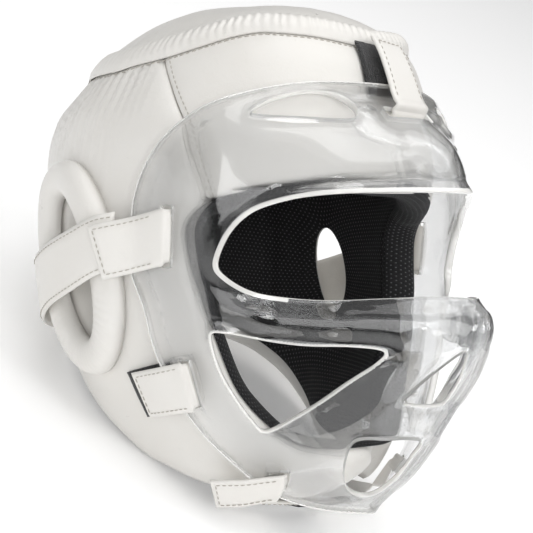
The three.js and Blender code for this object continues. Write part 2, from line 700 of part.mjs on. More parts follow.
// A band under the chin, from one jaw to the other, with a hook patch where it closes.
const CHIN_BAND = { half: 46, width: 22, sag: 2, y: -50, z: -109.5, reach: 14 };
function underChin(from, to, low, high, inset) {
  const steps = Math.max(2, Math.round((to - from) / 9));
  const points = [];
  for (const drop of [low, high])
    for (let i = 0; i <= steps; i++)
      for (const side of [-1, 1]) {
        const x = from + ((to - from) * i) / steps;
        const bow = 1 - (x / CHIN_BAND.half) ** 2;
        points.push(new THREE.Vector3(
          x,
          CHIN_BAND.y - CHIN_BAND.reach * bow + side * (CHIN_BAND.width / 2 - inset),
          CHIN_BAND.z - CHIN_BAND.sag * bow - drop,
        ));
      }
  const layer = 2 * (steps + 1);
  const faces = [];
  const quad = (a, b, c, d) => faces.push([a, b, c], [a, c, d]);
  for (let i = 0; i < steps; i++) {
    const [a, b, c, d] = [2 * i, 2 * i + 1, 2 * i + 3, 2 * i + 2];
    quad(a, d, c, b);
    quad(layer + a, layer + b, layer + c, layer + d);
    quad(b, c, layer + c, layer + b);
    quad(a, layer + a, layer + d, d);
  }
  quad(0, 1, layer + 1, layer);
  const e = 2 * steps;
  quad(e, layer + e, layer + e + 1, e + 1);
  return facingOut(geometry(points, faces));
}

// the whole headgear
add("forehead_panel", "leather", foreheadPanel());
pair("side_panel", "leather", sidePanel);
add("mesh_lining", "mesh", meshLining());
add("face_roll", "mesh", faceRoll());
add("crown_pad", "leather", crownPad());
add("crown_binding", "leather", crownBinding());
pair("ear_ring", "leather", earRing);
add("back_strap", "leather", backStrap());
add("face_shield", "clear", faceShield());
pair("temple_tab", "leather", templeTab);
pair("cheek_tab", "leather", cheekTab);
pair("chin_tab", "leather", chinTab);
add("forehead_tab", "leather", foreheadTab());
add("forehead_loop_patch", "hook", patch([
  [-BROW_TAB.patchHalf, BROW_TAB.patchTop], [BROW_TAB.patchHalf, BROW_TAB.patchTop],
  [BROW_TAB.patchHalf, BROW_TAB.patchLow], [-BROW_TAB.patchHalf, BROW_TAB.patchLow]]));
pair("cheek_loop_patch", "hook", (sign) => patch(mirrored(
  [[78.5, -50.5], [60.5, -41.5], [58, -66], [73.5, -70.5]], sign)));
add("chin_loop_patch", "hook", plate({
  on: onHead, top: straight([-9, -88], [10, -88]), bottom: straight([-9, -104], [10, -104]),
  left: straight([-9, -88], [-9, -104]), right: straight([10, -88], [10, -104]),
  across: 4, down: 2, under: -LAP.under + GAP, over: -LAP.under + GAP + PATCH,
}));
add("chin_strap", "leather", underChin(-CHIN_BAND.half, CHIN_BAND.half, 0, STRAP, 0));
add("chin_strap_hook", "hook", underChin(-22, 8, STRAP + GAP, STRAP + GAP + PATCH, 2));

// how it rests
// Tipped back about X until the nape and the jaw touch the surface together.
function lowest(tilt, behind) {
  let low = Infinity;
  for (const mesh of group.children) {
    const p = mesh.geometry.attributes.position;
    for (let i = 0; i < p.count; i++)
      if (p.getY(i) > 30 === behind)
        low = Math.min(low, p.getZ(i) * Math.cos(tilt) - p.getY(i) * Math.sin(tilt));
  }
  return low;
}
let [flat, steep] = [0, radians(50)];
for (let i = 0; i < 40; i++) {
  const tilt = (flat + steep) / 2;
  if (lowest(tilt, true) > lowest(tilt, false)) flat = tilt;
  else steep = tilt;
}
group.rotation.x = -flat;
group.updateMatrixWorld(true);
const box = new THREE.Box3().setFromObject(group, true);
group.position.set(0, -(box.min.y + box.max.y) / 2, -box.min.z);
group.updateMatrixWorld(true);

export default group;
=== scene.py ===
"""Sparring headgear with a clear face shield, resting tipped back on a pale floor.

Shapes are worked out on a level head in millimetres (+Z up, the face looks along -Y, +X is the
wearer's left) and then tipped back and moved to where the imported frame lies. A place on the head
is a turn in degrees (0 at the nose, minus on the wearer's right) and a height.
"""
import math

import bpy
import numpy as np
from mathutils import Matrix, Vector, geometry, noise


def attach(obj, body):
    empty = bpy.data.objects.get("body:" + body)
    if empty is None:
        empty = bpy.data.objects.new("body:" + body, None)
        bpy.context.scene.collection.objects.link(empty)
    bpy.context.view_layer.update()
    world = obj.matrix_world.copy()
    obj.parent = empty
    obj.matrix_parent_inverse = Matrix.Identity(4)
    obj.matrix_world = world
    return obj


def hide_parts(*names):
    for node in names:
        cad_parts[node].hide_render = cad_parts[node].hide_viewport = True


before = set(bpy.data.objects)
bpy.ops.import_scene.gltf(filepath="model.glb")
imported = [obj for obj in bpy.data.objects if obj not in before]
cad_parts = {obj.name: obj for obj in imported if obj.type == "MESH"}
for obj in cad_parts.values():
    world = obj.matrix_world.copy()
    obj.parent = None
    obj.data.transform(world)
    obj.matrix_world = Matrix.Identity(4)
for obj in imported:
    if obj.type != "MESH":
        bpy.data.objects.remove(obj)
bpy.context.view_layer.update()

# How the headgear rests.
TILT = math.radians(33.589162)
SHIFT = np.array([0.0, 14.585872, 74.360513])

# Thicknesses and clearances.
PADDING = 16.0
LINING = 2.0
SHIELD = 3.0
STRAP = 2.0
TAPE = 1.2
GAP = 0.4
LINER = PADDING + 1.4  # depth of the lining's outer face
SEAM = 1.0
ARC = 1.7  # the way along the head for one degree of turn
THREAD_RADIUS = 0.27
SIDES = ((-1, "right"), (1, "left"))

# Outer form of the padding: half width, reach to the front and to the back, squareness in front.
HEAD = np.array([  # z, side, front, back, square
    [-124, 46, 74, 26, 2.1],
    [-105, 62, 88, 42, 2.1],
    [-85, 74, 93, 57, 2.15],
    [-60, 86, 94, 69, 2.2],
    [-30, 95, 96, 80, 2.2],
    [0, 99, 97, 90, 2.2],
    [30, 100, 98, 99, 2.2],
    [55, 98, 99, 105, 2.2],
    [72, 94, 98, 101, 2.2],
    [86, 87, 97, 88, 2.25],
    [97, 81, 94, 77, 2.35],
    [106, 75, 90, 68, 2.5],
    [114, 68, 85, 58, 2.65],
    [122, 58, 77, 46, 2.7],
    [130, 42, 64, 28, 2.5],
])

# Outer form of the clear shell: height, then its distance from the head's axis at each turn.
SHELL_TURNS = [0, 8, 22, 38, 50, 62, 76, 95]
SHELL = np.array([
    [-126, 82, 76, 68, 66, 65, 57, 52, 50],
    [-116, 96, 88, 80, 77, 76, 66, 60, 58],
    [-105, 108, 99, 91, 86, 86, 76, 68, 67],
    [-92, 121, 111, 101, 94, 94, 84, 76, 75],
    [-75, 134, 122, 109, 102, 101, 92, 85, 84],
    [-58, 145, 131, 116, 108, 107, 99, 93, 92],
    [-40, 156, 140, 121, 113, 112, 105, 99, 98],
    [-22, 162, 144, 124, 114, 114, 108, 102, 101],
    [-5, 155, 140, 123, 115, 115, 109, 104, 104],
    [15, 148, 135, 122, 116, 116, 110, 106, 105],
    [35, 146, 135, 123, 117, 117, 111, 106, 105],
    [50, 142, 131, 121, 115, 116, 110, 105, 104],
    [62, 135, 126, 117, 113, 114, 108, 103, 102],
    [75, 119, 114, 110, 108, 109, 104, 100, 99],
    [85, 107, 105, 103, 103, 103, 99, 95, 94],
    [95, 102, 101, 99.5, 98, 97, 93, 90, 88],
])

CROWN_SEAM = [  # turn, z
    [0, 112.5], [15, 114.5], [29, 116], [40, 116.5], [48, 114.7], [60, 109.7],
    [74, 104.3], [88, 101], [98, 98.5], [140, 97.5], [180, 97.5],
]
CROWN_TOP = {"y": -22, "z": 134, "bulge": 3, "reach": 72, "pad": 10}
LOWER_EDGE = [  # turn, z
    [0, -111], [30, -110], [54, -106], [64, -103], [74, -98.5], [83, -94.5],
    [94, -84], [103, -74], [110, -65], [118, -56], [130, -46], [150, -38], [180, -35],
]
LINING_EDGE = [  # turn, z
    [0, -100], [40, -99], [60, -97], [74, -93.5], [83, -89.5], [94, -79], [103, -69],
    [110, -60], [118, -51.5], [130, -42], [150, -34.5], [180, -31.5],
]
HEM = {"tall": 26, "thin": 10}
SIDE_SEAM = [[77, 105], [70, 88], [63, 70], [60, 56], [55, 33]]
FACE_EDGE = [
    [0, 46], [16, 46], [31, 42.5], [46, 37], [55, 31], [60, 20], [59, 4], [55.5, -14],
    [52, -30], [45, -56], [35, -73], [25, -82], [12, -84], [0, -84],
]
EAR = {"turn": 97.5, "inner": 92, "z": -1, "lean": 13.5, "width": 25, "height": 68,
       "mouth": 52, "ring": 18, "rise": 9}
# The lap under the chin: where it starts and ends, how deep its upper layer goes, how far the
# lower layer's outer face sinks, and how much each layer gives way.
LAP = {"turn": 5, "start": 38, "cover": 5.4, "under": 10.6, "sink": 0.6, "slack": 1.4, "end": 13}


# Surfaces

def monotone(xs, ys):
    """A smooth curve through knots that never overshoots them. ys may hold one row per place."""
    xs = np.asarray(xs, float)
    ys = np.asarray(ys, float)
    slope = (ys[1:] - ys[:-1]) / (xs[1:] - xs[:-1]).reshape((-1,) + (1,) * (ys.ndim - 1))
    inner = slope[:-1] * slope[1:]
    total = slope[:-1] + slope[1:]
    inner = np.where(inner > 0, 2 * inner / np.where(total == 0, 1, total), 0)
    tangent = np.concatenate([slope[:1], inner, slope[-1:]])

    def at(x):
        x = np.asarray(x, float)
        i = np.clip(np.searchsorted(xs, x, side="left") - 1, 0, len(xs) - 2)
        h = xs[i + 1] - xs[i]
        t = np.clip((x - xs[i]) / h, -0.5, 1.5)
        if ys.ndim == 1:
            y0, y1, m0, m1 = ys[i], ys[i + 1], tangent[i], tangent[i + 1]
        else:
            k = np.arange(len(x))
            y0, y1, m0, m1 = ys[i, k], ys[i + 1, k], tangent[i, k], tangent[i + 1, k]
        a = 2 * t ** 3 - 3 * t ** 2 + 1
        mid = a * y0 + (t ** 3 - 2 * t ** 2 + t) * h * m0 + (1 - a) * y1 + (t ** 3 - t ** 2) * h * m1
        return np.where(t < 0, y0 + m0 * h * t, np.where(t > 1, y1 + m1 * h * (t - 1), mid))
    return at


def table(rows):
    rows = np.array(rows, float)
    rows = rows[np.argsort(rows[:, 0])]
    return monotone(rows[:, 0], rows[:, 1])


head_column = [table(HEAD[:, [0, k]]) for k in (1, 2, 3, 4)]
shell_column = [table(SHELL[:, [0, k]]) for k in range(1, 9)]
seam_height = table(CROWN_SEAM)
lower_edge = table(LOWER_EDGE)
lining_edge = table(LINING_EDGE)


def alike(*values):
    """Numbers and arrays as flat arrays of one length."""
    return [np.array(v, float).ravel() for v in np.broadcast_arrays(*map(np.atleast_1d, values))]


def between(a, b, c, d, t):
    """A smooth step from b (t = 0) to c (t = 1), with a before them and d after."""
    return 0.5 * (2 * b + (c - a) * t + (2 * a - 5 * b + 4 * c - d) * t ** 2
                  + (3 * b - 3 * c + d - a) * t ** 3)


def lengths(line):
    """The way along a line at each of its points."""
    return np.concatenate([[0], np.cumsum(np.linalg.norm(np.diff(line, axis=0), axis=1))])


def fold(turn):
    """The turn from the nose to either side, 0 to 180."""
    return np.abs((np.asarray(turn, float) + 540) % 360 - 180)


def smoothstep(x, a, b):
    t = np.clip((np.asarray(x, float) - a) / (b - a), 0, 1)
    return t * t * (3 - 2 * t)


def hemmed(turn, z):
    """How much thinner the padding gets towards its lower edge."""
    share = 1 - (z - lower_edge(fold(turn))) / HEM["tall"]
    return np.where(fold(turn) < 50, 0, HEM["thin"] * np.clip(share, 0, 1) ** 1.5)


def head_radius(turn, z):
    t = np.radians(turn)
    side, front, back, square = (column(z) for column in head_column)
    ahead = np.cos(t) > 0
    n = np.where(ahead, square, 2)
    reach = np.where(ahead, front, back)
    return (np.abs(np.sin(t) / side) ** n + np.abs(np.cos(t) / reach) ** n) ** (-1 / n)


def shell_radius(turn, z):
    at = np.stack([column(z) for column in shell_column])
    curve = monotone([-SHELL_TURNS[1]] + SHELL_TURNS, np.concatenate([at[1:2], at]))
    return curve(np.minimum(fold(turn), 95))


def surface(radius):
    """Gives points at turns and heights, lifted along the outward normal."""
    def at(turn, z):
        r = radius(turn, z)
        t = np.radians(turn)
        return np.stack([r * np.sin(t), -r * np.cos(t), z], -1)

    def on(turn, z, lift=0.0):
        turn, z, lift = alike(turn, z, lift)
        around = at(turn + 0.6, z) - at(turn - 0.6, z)
        up = at(turn, z + 0.6) - at(turn, z - 0.6)
        normal = np.cross(around, up)
        normal /= np.linalg.norm(normal, axis=1)[:, None]
        return at(turn, z) + normal * lift[:, None]
    return on


on_head = surface(head_radius)
on_shell = surface(shell_radius)


def crown_point(turn, share, lift=0.0):
    """The dome starts at the seam (share 1) and closes over the top (share 0)."""
    turn, share, lift = alike(turn, share, lift)
    rim = on_head(turn, seam_height(fold(turn)) + SEAM / 2)

    def at(s):
        return np.stack([
            rim[:, 0] * s,
            CROWN_TOP["y"] + (rim[:, 1] - CROWN_TOP["y"]) * s,
            CROWN_TOP["z"] - (CROWN_TOP["z"] - rim[:, 2]) * s ** CROWN_TOP["bulge"],
        ], -1)
    out = np.stack([np.sin(np.radians(turn)), -np.cos(np.radians(turn)), 0 * turn], -1)
    along = at(np.minimum(share + 0.02, 1.02)) - at(np.maximum(share - 0.02, 0.001))
    along /= np.linalg.norm(along, axis=1)[:, None]
    normal = -along[:, 2:3] * out
    normal[:, 2] += np.hypot(along[:, 0], along[:, 1])
    normal /= np.linalg.norm(normal, axis=1)[:, None]
    return at(share) + normal * lift[:, None]


def rest(points):
    """Level head in millimetres to the resting part in metres."""
    p = np.asarray(points, float)
    c, s = math.cos(TILT), math.sin(TILT)
    turned = np.stack([p[..., 0], c * p[..., 1] + s * p[..., 2], -s * p[..., 1] + c * p[..., 2]], -1)
    return (turned + SHIFT) / 1000


def ripple(points, scale, seed=0.0):
    """Smooth noise in -1..1 at places in millimetres, scale being the size of its lumps."""
    return np.array([noise.noise(Vector((p[0] / scale + seed, p[1] / scale, p[2] / scale - seed)))
                     for p in points])


# Flat outlines, in millimetres along the head and up it

def spaced(places, step, closed=True, curved=False):
    """Points at an even spacing along straight or curved stretches between [turn, z] places."""
    p = np.array(places, float) * (ARC, 1)
    if curved:
        n = len(p)
        smooth = []
        for i in range(n if closed else n - 1):
            if closed:
                a, b, c, d = (p[(i + k) % n] for k in (-1, 0, 1, 2))
            else:
                b, c = p[i], p[i + 1]
                a = p[i - 1] if i else 2 * b - c
                d = p[i + 2] if i + 2 < n else 2 * c - b
            for t in np.linspace(0, 1, 12, endpoint=False):
                smooth.append(between(a, b, c, d, t))
        if not closed:
            smooth.append(p[-1])
        p = np.array(smooth)
    if closed:
        p = np.vstack([p, p[:1]])
    along = lengths(p)
    count = max(6, int(round(along[-1] / step)))
    at = np.linspace(0, along[-1], count + 1)
    if closed:
        at = at[:-1]
    return np.stack([np.interp(at, along, p[:, k]) for k in (0, 1)], 1)


def mirrored(places, sign=-1):
    """Places taken to the side of this sign."""
    return [[sign * t, z] for t, z in places]


def both(half):
    """An outline that runs from one side's first place over the middle to the other side's."""
    return mirrored(half) + half[:-1][::-1]


def counterclockwise(loop):
    x, y = loop[:, 0], loop[:, 1]
    area = np.sum(x * np.roll(y, -1) - np.roll(x, -1) * y)
    return loop if area > 0 else loop[::-1]


def inside(points, loop):
    a, b = loop, np.roll(loop, -1, 0)
    x, y = points[:, 0, None], points[:, 1, None]
    rise = np.where(b[:, 1] == a[:, 1], 1e-9, b[:, 1] - a[:, 1])
    hit = ((a[:, 1] > y) != (b[:, 1] > y)) & (x < (b[:, 0] - a[:, 0]) * (y - a[:, 1]) / rise + a[:, 0])
    return hit.sum(1) % 2 == 1


def distance(points, loops):
    """How far each place is from the nearest of these closed outlines."""
    best = np.full(len(points), 1e9)
    for loop in loops:
        a, d = loop, np.roll(loop, -1, 0) - loop
        size = np.maximum((d ** 2).sum(1), 1e-12)
        for i in range(0, len(points), 4000):
            p = points[i:i + 4000]
            w = p[:, None] - a[None]
            t = np.clip((w * d).sum(2) / size, 0, 1)
            near = np.linalg.norm(w - t[..., None] * d, axis=2).min(1)
            best[i:i + 4000] = np.minimum(best[i:i + 4000], near)
    return best


def region(loops, step, rings):
    """Triangles over an outline with holes: places, triangles, and the directed rim edges."""
    outer = counterclockwise(loops[0])
    holes = [counterclockwise(h)[::-1] for h in loops[1:]]
    loops = [outer] + holes

    def within(p):
        ok = inside(p, outer)
        for h in holes:
            ok &= ~inside(p, h)
        return ok
    lo, hi = outer.min(0), outer.max(0)
    rows = []
    for k, y in enumerate(np.arange(lo[1], hi[1], step * 0.866)):
        x = np.arange(lo[0] + (k % 2) * step / 2, hi[0], step)
        rows.append(np.stack([x, np.full_like(x, y)], 1))
    grid = np.vstack(rows)
    grid = grid[within(grid)]
    grid = grid[distance(grid, loops) > rings[-1] + 0.5 * step]
    free = [grid]
    for loop in loops:
        tangent = np.roll(loop, -1, 0) - np.roll(loop, 1, 0)
        inward = np.stack([-tangent[:, 1], tangent[:, 0]], 1)
        inward /= np.maximum(np.linalg.norm(inward, axis=1), 1e-9)[:, None]
        for r in rings:
            p = loop + inward * r
            p = p[within(p)]
            if len(p):
                free.append(p[distance(p, loops) > 0.9 * r])
    verts = [Vector(p) for loop in loops for p in loop]
    edges = []
    start = 0
    for loop in loops:
        n = len(loop)
        edges += [(start + i, start + (i + 1) % n) for i in range(n)]
        start += n
    verts += [Vector(p) for group in free for p in group]
    out, _, tris, _, _, _ = geometry.delaunay_2d_cdt(verts, edges, [], 0, 1e-4)
    uv = np.array([tuple(v) for v in out])
    tris = np.array([t for t in tris if len(t) == 3])
    tris = tris[within(uv[tris].mean(1))]
    a, b, c = (uv[tris[:, k]] for k in range(3))
    area = (b[:, 0] - a[:, 0]) * (c[:, 1] - a[:, 1]) - (b[:, 1] - a[:, 1]) * (c[:, 0] - a[:, 0])
    tris[area < 0] = tris[area < 0][:, ::-1]
    tris = tris[np.abs(area) > 1e-7]
    used = set(map(tuple, np.concatenate([tris[:, [0, 1]], tris[:, [1, 2]], tris[:, [2, 0]]])))
    rim = [(i, j) for i, j in used if (j, i) not in used]
    keep = np.unique(tris)
    index = -np.ones(len(uv), int)
    index[keep] = np.arange(len(keep))
    return uv[keep], index[tris], sorted((int(index[i]), int(index[j])) for i, j in rim), loops


def shell(loops, on, over, under, step=2.2, rings=(0.4, 1.0, 2.0, 3.4), walls=3, bulge=0.0,
          inner=None):
    """A closed sheet of material over an outline with holes.

    over and under give the lift of its faces from turn, height, and distance to the nearest edge.
    inner moves the places of the under face. Returns points, faces, places and a mark per face:
    0 outer, 1 under, 2 edge.
    """
    uv, tris, rim, loops = region(loops, step, rings)
    d = distance(uv, loops)
    turn, z = uv[:, 0] / ARC, uv[:, 1]
    turn2, z2 = inner(turn, z) if inner else (turn, z)
    top, low = (np.broadcast_to(np.asarray(f(turn, z, d), float), turn.shape) for f in (over, under))
    points = [on(turn, z, top), on(turn2, z2, low)]
    n = len(uv)
    faces = [tuple(t) for t in tris] + [tuple(n + i for i in t[::-1]) for t in tris]
    marks = [0] * len(tris) + [1] * len(tris)
    ids = sorted({i for edge in rim for i in edge})
    spot = {i: k for k, i in enumerate(ids)}
    out = np.zeros((len(ids), 2))
    for i, j in rim:
        way = uv[j] - uv[i]
        normal = np.array([way[1], -way[0]]) / max(np.linalg.norm(way), 1e-9)
        out[spot[i]] += normal
        out[spot[j]] += normal
    out /= np.maximum(np.linalg.norm(out, axis=1), 1e-9)[:, None]
    sel = np.array(ids)
    layers = [{i: i for i in ids}]
    base = 2 * n
    for k in range(1, walls):
        f = k / walls
        puff = bulge * math.sin(math.pi * f)
        points.append(on((turn[sel] * (1 - f) + turn2[sel] * f) + out[:, 0] * puff / ARC,
                         (z[sel] * (1 - f) + z2[sel] * f) + out[:, 1] * puff,
                         top[sel] * (1 - f) + low[sel] * f))
        layers.append({i: base + spot[i] for i in ids})
        base += len(ids)
    layers.append({i: n + i for i in ids})
    for i, j in rim:
        for upper, lower in zip(layers, layers[1:]):
            faces.append((upper[j], upper[i], lower[i], lower[j]))
            marks.append(2)
    places = np.vstack([uv, uv] + [uv[sel]] * (walls - 1))
    return np.vstack(points), faces, places, marks


def tube(rows, closed=True):
    """A skin over rows of section points (rows, sides, 3), each row a closed section."""
    rows = np.asarray(rows, float)
    n, m = rows.shape[:2]
    faces = []
    for i in range(n if closed else n - 1):
        for j in range(m):
            a, b = i * m + j, i * m + (j + 1) % m
            c, d = ((i + 1) % n) * m + (j + 1) % m, ((i + 1) % n) * m + j
            faces.append((a, b, c, d))
    if not closed:
        faces.append(tuple(range(m))[::-1])
        faces.append(tuple((n - 1) * m + j for j in range(m)))
    points = rows.reshape(-1, 3)
    volume = sum(np.dot(points[f[0]], np.cross(points[f[1]], points[f[2]])) for f in faces[::7])
    if volume < 0:
        faces = [f[::-1] for f in faces]
    return points, faces


def edge_line(values, count):
    """Smoothly resamples rows of numbers, evenly in steps between rows."""
    v = np.asarray(values, float)
    last = len(v) - 1
    at = np.linspace(0, last, count)
    i = np.minimum(at.astype(int), last - 1)
    a, b, c, d = (v[np.clip(i + k, 0, last)] for k in (-1, 0, 1, 2))
    return between(a, b, c, d, (at - i)[:, None])


# Materials

def material(name):
    m = bpy.data.materials.new(name)
    m.use_nodes = True
    tree = m.node_tree
    return m, tree, tree.nodes["Principled BSDF"]


def node(tree, kind, **values):
    n = tree.nodes.new(kind)
    for key, value in values.items():
        if key in n.inputs:
            n.inputs[key].default_value = value
        else:
            setattr(n, key, value)
    return n


def ramp(tree, source, stops):
    r = tree.nodes.new("ShaderNodeValToRGB")
    while len(r.color_ramp.elements) < len(stops):
        r.color_ramp.elements.new(0.5)
    for element, (place, colour) in zip(r.color_ramp.elements, stops):
        element.position = place
        element.color = colour if len(colour) == 4 else (*colour, 1)
    tree.links.new(source, r.inputs[0])
    return r.outputs[0]


def grey(v):
    return (v, v, v, 1)


def texture(tree, kind, **values):
    """A noise or a cell pattern laid by the place on the object."""
    n = node(tree, "ShaderNodeTex" + kind, **values)
    tree.links.new(node(tree, "ShaderNodeTexCoord").outputs["Object"], n.inputs["Vector"])
    return n


def bumps(tree, shader, *layers):
    """Layers of (height, strength, depth in metres), each laid over the one before."""
    normal = None
    for height, strength, deep in layers:
        bump = node(tree, "ShaderNodeBump", Strength=strength, Distance=deep)
        tree.links.new(height, bump.inputs["Height"])
        if normal:
            tree.links.new(normal, bump.inputs["Normal"])
        normal = bump.outputs["Normal"]
    tree.links.new(normal, shader.inputs["Normal"])


def finish(shader, values):
    for key, value in values.items():
        shader.inputs[key].default_value = value


def leather(name, tint, rough, grain=0.25, wrinkle=0.35):
    m, tree, shader = material(name)
    link = tree.links.new
    cloud = texture(tree, "Noise", Scale=14.0, Detail=3.0, Roughness=0.55)
    pore = texture(tree, "Voronoi", Scale=1150.0)
    crease = texture(tree, "Noise", Scale=170.0, Detail=5.0, Roughness=0.62, Distortion=0.8)
    dark = tuple(c * f for c, f in zip(tint, (0.955, 0.945, 0.93)))
    link(ramp(tree, cloud.outputs["Fac"], [(0.3, dark), (0.7, tint)]), shader.inputs["Base Color"])
    link(ramp(tree, crease.outputs["Fac"], [(0.3, grey(rough - 0.06)), (0.75, grey(rough + 0.12))]),
         shader.inputs["Roughness"])
    bumps(tree, shader, (pore.outputs["Distance"], grain, 0.00012),
          (crease.outputs["Fac"], wrinkle, 0.0006))
    finish(shader, {"Specular IOR Level": 0.45, "Coat Weight": 0.12, "Coat Roughness": 0.3})
    return m


def spacer_mesh(name):
    """Black knitted mesh with staggered rows of small pale dots, laid by the flat places."""
    m, tree, shader = material(name)
    link = tree.links.new
    flat = node(tree, "ShaderNodeUVMap", uv_map="flat").outputs["UV"]
    split = node(tree, "ShaderNodeSeparateXYZ")
    link(flat, split.inputs[0])

    def calc(kind, a, b=None, c=None):
        n = node(tree, "ShaderNodeMath", operation=kind)
        for k, v in enumerate((a, b, c)):
            if v is None:
                continue
            if isinstance(v, (int, float)):
                n.inputs[k].default_value = v
            else:
                link(v, n.inputs[k])
        return n.outputs[0]
    pitch, rise = 2.7, 2.7 * 0.8
    row = calc("DIVIDE", split.outputs[1], rise)
    stagger = calc("MULTIPLY", calc("MODULO", calc("FLOOR", row), 2.0), 0.5)
    across = calc("ADD", calc("DIVIDE", split.outputs[0], pitch), stagger)
    dx = calc("MULTIPLY", calc("SUBTRACT", calc("FRACT", across), 0.5), pitch)
    dy = calc("MULTIPLY", calc("SUBTRACT", calc("FRACT", row), 0.5), rise)
    far = calc("SQRT", calc("ADD", calc("MULTIPLY", dx, dx), calc("MULTIPLY", dy, dy)))
    link(ramp(tree, far, [(0.24, (0.10, 0.10, 0.105)), (0.48, (0.004, 0.004, 0.005))]),
         shader.inputs["Base Color"])
    knit = texture(tree, "Voronoi", Scale=900.0)
    bumps(tree, shader, (ramp(tree, far, [(0.3, grey(0)), (0.8, grey(1))]), 0.7, 0.0006),
          (knit.outputs["Distance"], 0.6, 0.0003))
    finish(shader, {"Roughness": 0.85, "Sheen Weight": 0.04})
    return m


def hook_tape(name):
    m, tree, shader = material(name)
    loops = texture(tree, "Voronoi", Scale=1500.0)
    fuzz = texture(tree, "Noise", Scale=600.0, Detail=4.0, Roughness=0.7)
    shades = [(0.35, (0.006, 0.006, 0.007)), (0.75, (0.035, 0.035, 0.037))]
    tree.links.new(ramp(tree, fuzz.outputs["Fac"], shades), shader.inputs["Base Color"])
    bumps(tree, shader, (loops.outputs["Distance"], 0.9, 0.0007))
    finish(shader, {"Roughness": 0.9, "Sheen Weight": 0.3})
    return m


def thread(name, tint):
    m, tree, shader = material(name)
    twist = texture(tree, "Noise", Scale=1600.0, Detail=2.0)
    shades = [(0.35, tuple(c * 0.82 for c in tint)), (0.65, tint)]
    tree.links.new(ramp(tree, twist.outputs["Fac"], shades), shader.inputs["Base Color"])
    bumps(tree, shader, (twist.outputs["Fac"], 0.5, 0.0002))
    finish(shader, {"Roughness": 0.7})
    return m


def clear_plastic(name, tint, rough, through, seen):
    m, tree, shader = material(name)
    link = tree.links.new
    haze = texture(tree, "Noise", Scale=9.0, Detail=2.0)
    flow = texture(tree, "Noise", Scale=16.0, Detail=1.0, Roughness=0.3)
    link(ramp(tree, haze.outputs["Fac"], [(0.35, grey(rough)), (0.75, grey(rough + 0.035))]),
         shader.inputs["Roughness"])
    bumps(tree, shader, (flow.outputs["Fac"], 0.35, 0.003))
    finish(shader, {"Transmission Weight": through, "IOR": 1.5, "Specular IOR Level": 1.0,
                    "Coat Weight": 0.8, "Coat IOR": 1.65, "Coat Roughness": 0.03})
    if seen < 1:
        # Edge-on, the plastic bends all light, and its colour is painted darker than face-on: painted
        # shade standing in for the dark room seen through it.
        facing = node(tree, "ShaderNodeLayerWeight", Blend=0.5).outputs["Facing"]
        link(ramp(tree, facing, [(0.4, grey(seen)), (0.85, grey(1.0))]), shader.inputs["Alpha"])
        grazing_painted_shade = tuple(c * 0.5 for c in tint)
        link(ramp(tree, facing, [(0.35, tint), (0.9, grazing_painted_shade)]), shader.inputs["Base Color"])
    else:
        finish(shader, {"Base Color": (*tint, 1), "Alpha": seen})
    return m


WHITE = leather("white_leather", (0.80, 0.786, 0.757), 0.33)
STRAP_WHITE = leather("strap_leather", (0.81, 0.795, 0.765), 0.35, grain=0.35, wrinkle=0.25)
MESH = spacer_mesh("black_mesh")
HOOK = hook_tape("hook_tape")
THREAD = thread("pale_thread", (0.52, 0.49, 0.44))
CLEAR = clear_plastic("clear_shell", (0.90, 0.91, 0.92), 0.03, 1.0, 0.56)
# Paler, less clear plastic for the shield's cut edges and rims: a painted edge highlight.
CLEAR_EDGE_HIGHLIGHT = clear_plastic("clear_shell_edge_highlight", (0.95, 0.94, 0.91), 0.22, 0.35, 1.0)


# Pieces


def piece(name, points, faces, *materials, nodes=(), places=None, marks=None, pad=None):
    """One mesh of the dressed part. marks picks a material for each face."""
    mesh = bpy.data.meshes.new(name)
    mesh.from_pydata(rest(points).tolist(), [], [tuple(int(i) for i in f) for f in faces])
    mesh.polygons.foreach_set("use_smooth", [True] * len(mesh.polygons))
    for m in materials:
        mesh.materials.append(m)
    if marks is not None:
        mesh.polygons.foreach_set("material_index", marks)
    if places is not None:
        layer = mesh.uv_layers.new(name="flat")
        corner = np.empty(len(mesh.loops), int)
        mesh.loops.foreach_get("vertex_index", corner)
        layer.data.foreach_set("uv", np.asarray(places, float)[corner].ravel())
    mesh.update()
    obj = bpy.data.objects.new(name, mesh)
    bpy.context.collection.objects.link(obj)
    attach(obj, "root")
    if nodes:
        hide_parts(*nodes)


def stitched(name, runs, pitch, long):
    """Rows of single stitches. Each run is points on the leather and the directions out of it."""
    points, faces = [], []
    sides = 5
    shape = [  # share of the stitch's length, share of its thickness, lift
        (0.0, 0.35, -0.4), (0.2, 0.9, 0.25), (0.5, 1.0, 0.45), (0.8, 0.9, 0.25), (1.0, 0.35, -0.4),
    ]
    for line, out in runs:
        line, out = np.asarray(line, float), np.asarray(out, float)
        along = lengths(line)
        count = int(along[-1] // pitch)

        def at(q, values):
            return np.array([np.interp(q, along, values[:, k]) for k in range(3)])
        for s in (np.arange(count) + 0.5) * along[-1] / max(count, 1):
            rows = []
            for share, fat, lift in shape:
                q = s + (share - 0.5) * long
                p, ahead, back, n = at(q, line), at(q + 0.4, line), at(q - 0.4, line), at(q, out)
                t = (ahead - back) / max(np.linalg.norm(ahead - back), 1e-9)
                side = np.cross(t, n)
                side /= max(np.linalg.norm(side), 1e-9)
                n = np.cross(side, t)
                p = p + n * lift * THREAD_RADIUS
                rows.append([p + THREAD_RADIUS * fat * (math.cos(a) * side + math.sin(a) * n)
                             for a in np.arange(sides) * 2 * math.pi / sides])
            skin, quads = tube(rows, closed=False)
            start = len(points)
            points += list(skin)
            faces += [tuple(start + i for i in f) for f in quads]
    piece(name, np.array(points), faces, THREAD)


# Padded leather

# The upright gathers behind the temple.
GATHERS = {"deep": 2.5, "apart": 12.5, "reach": 30}


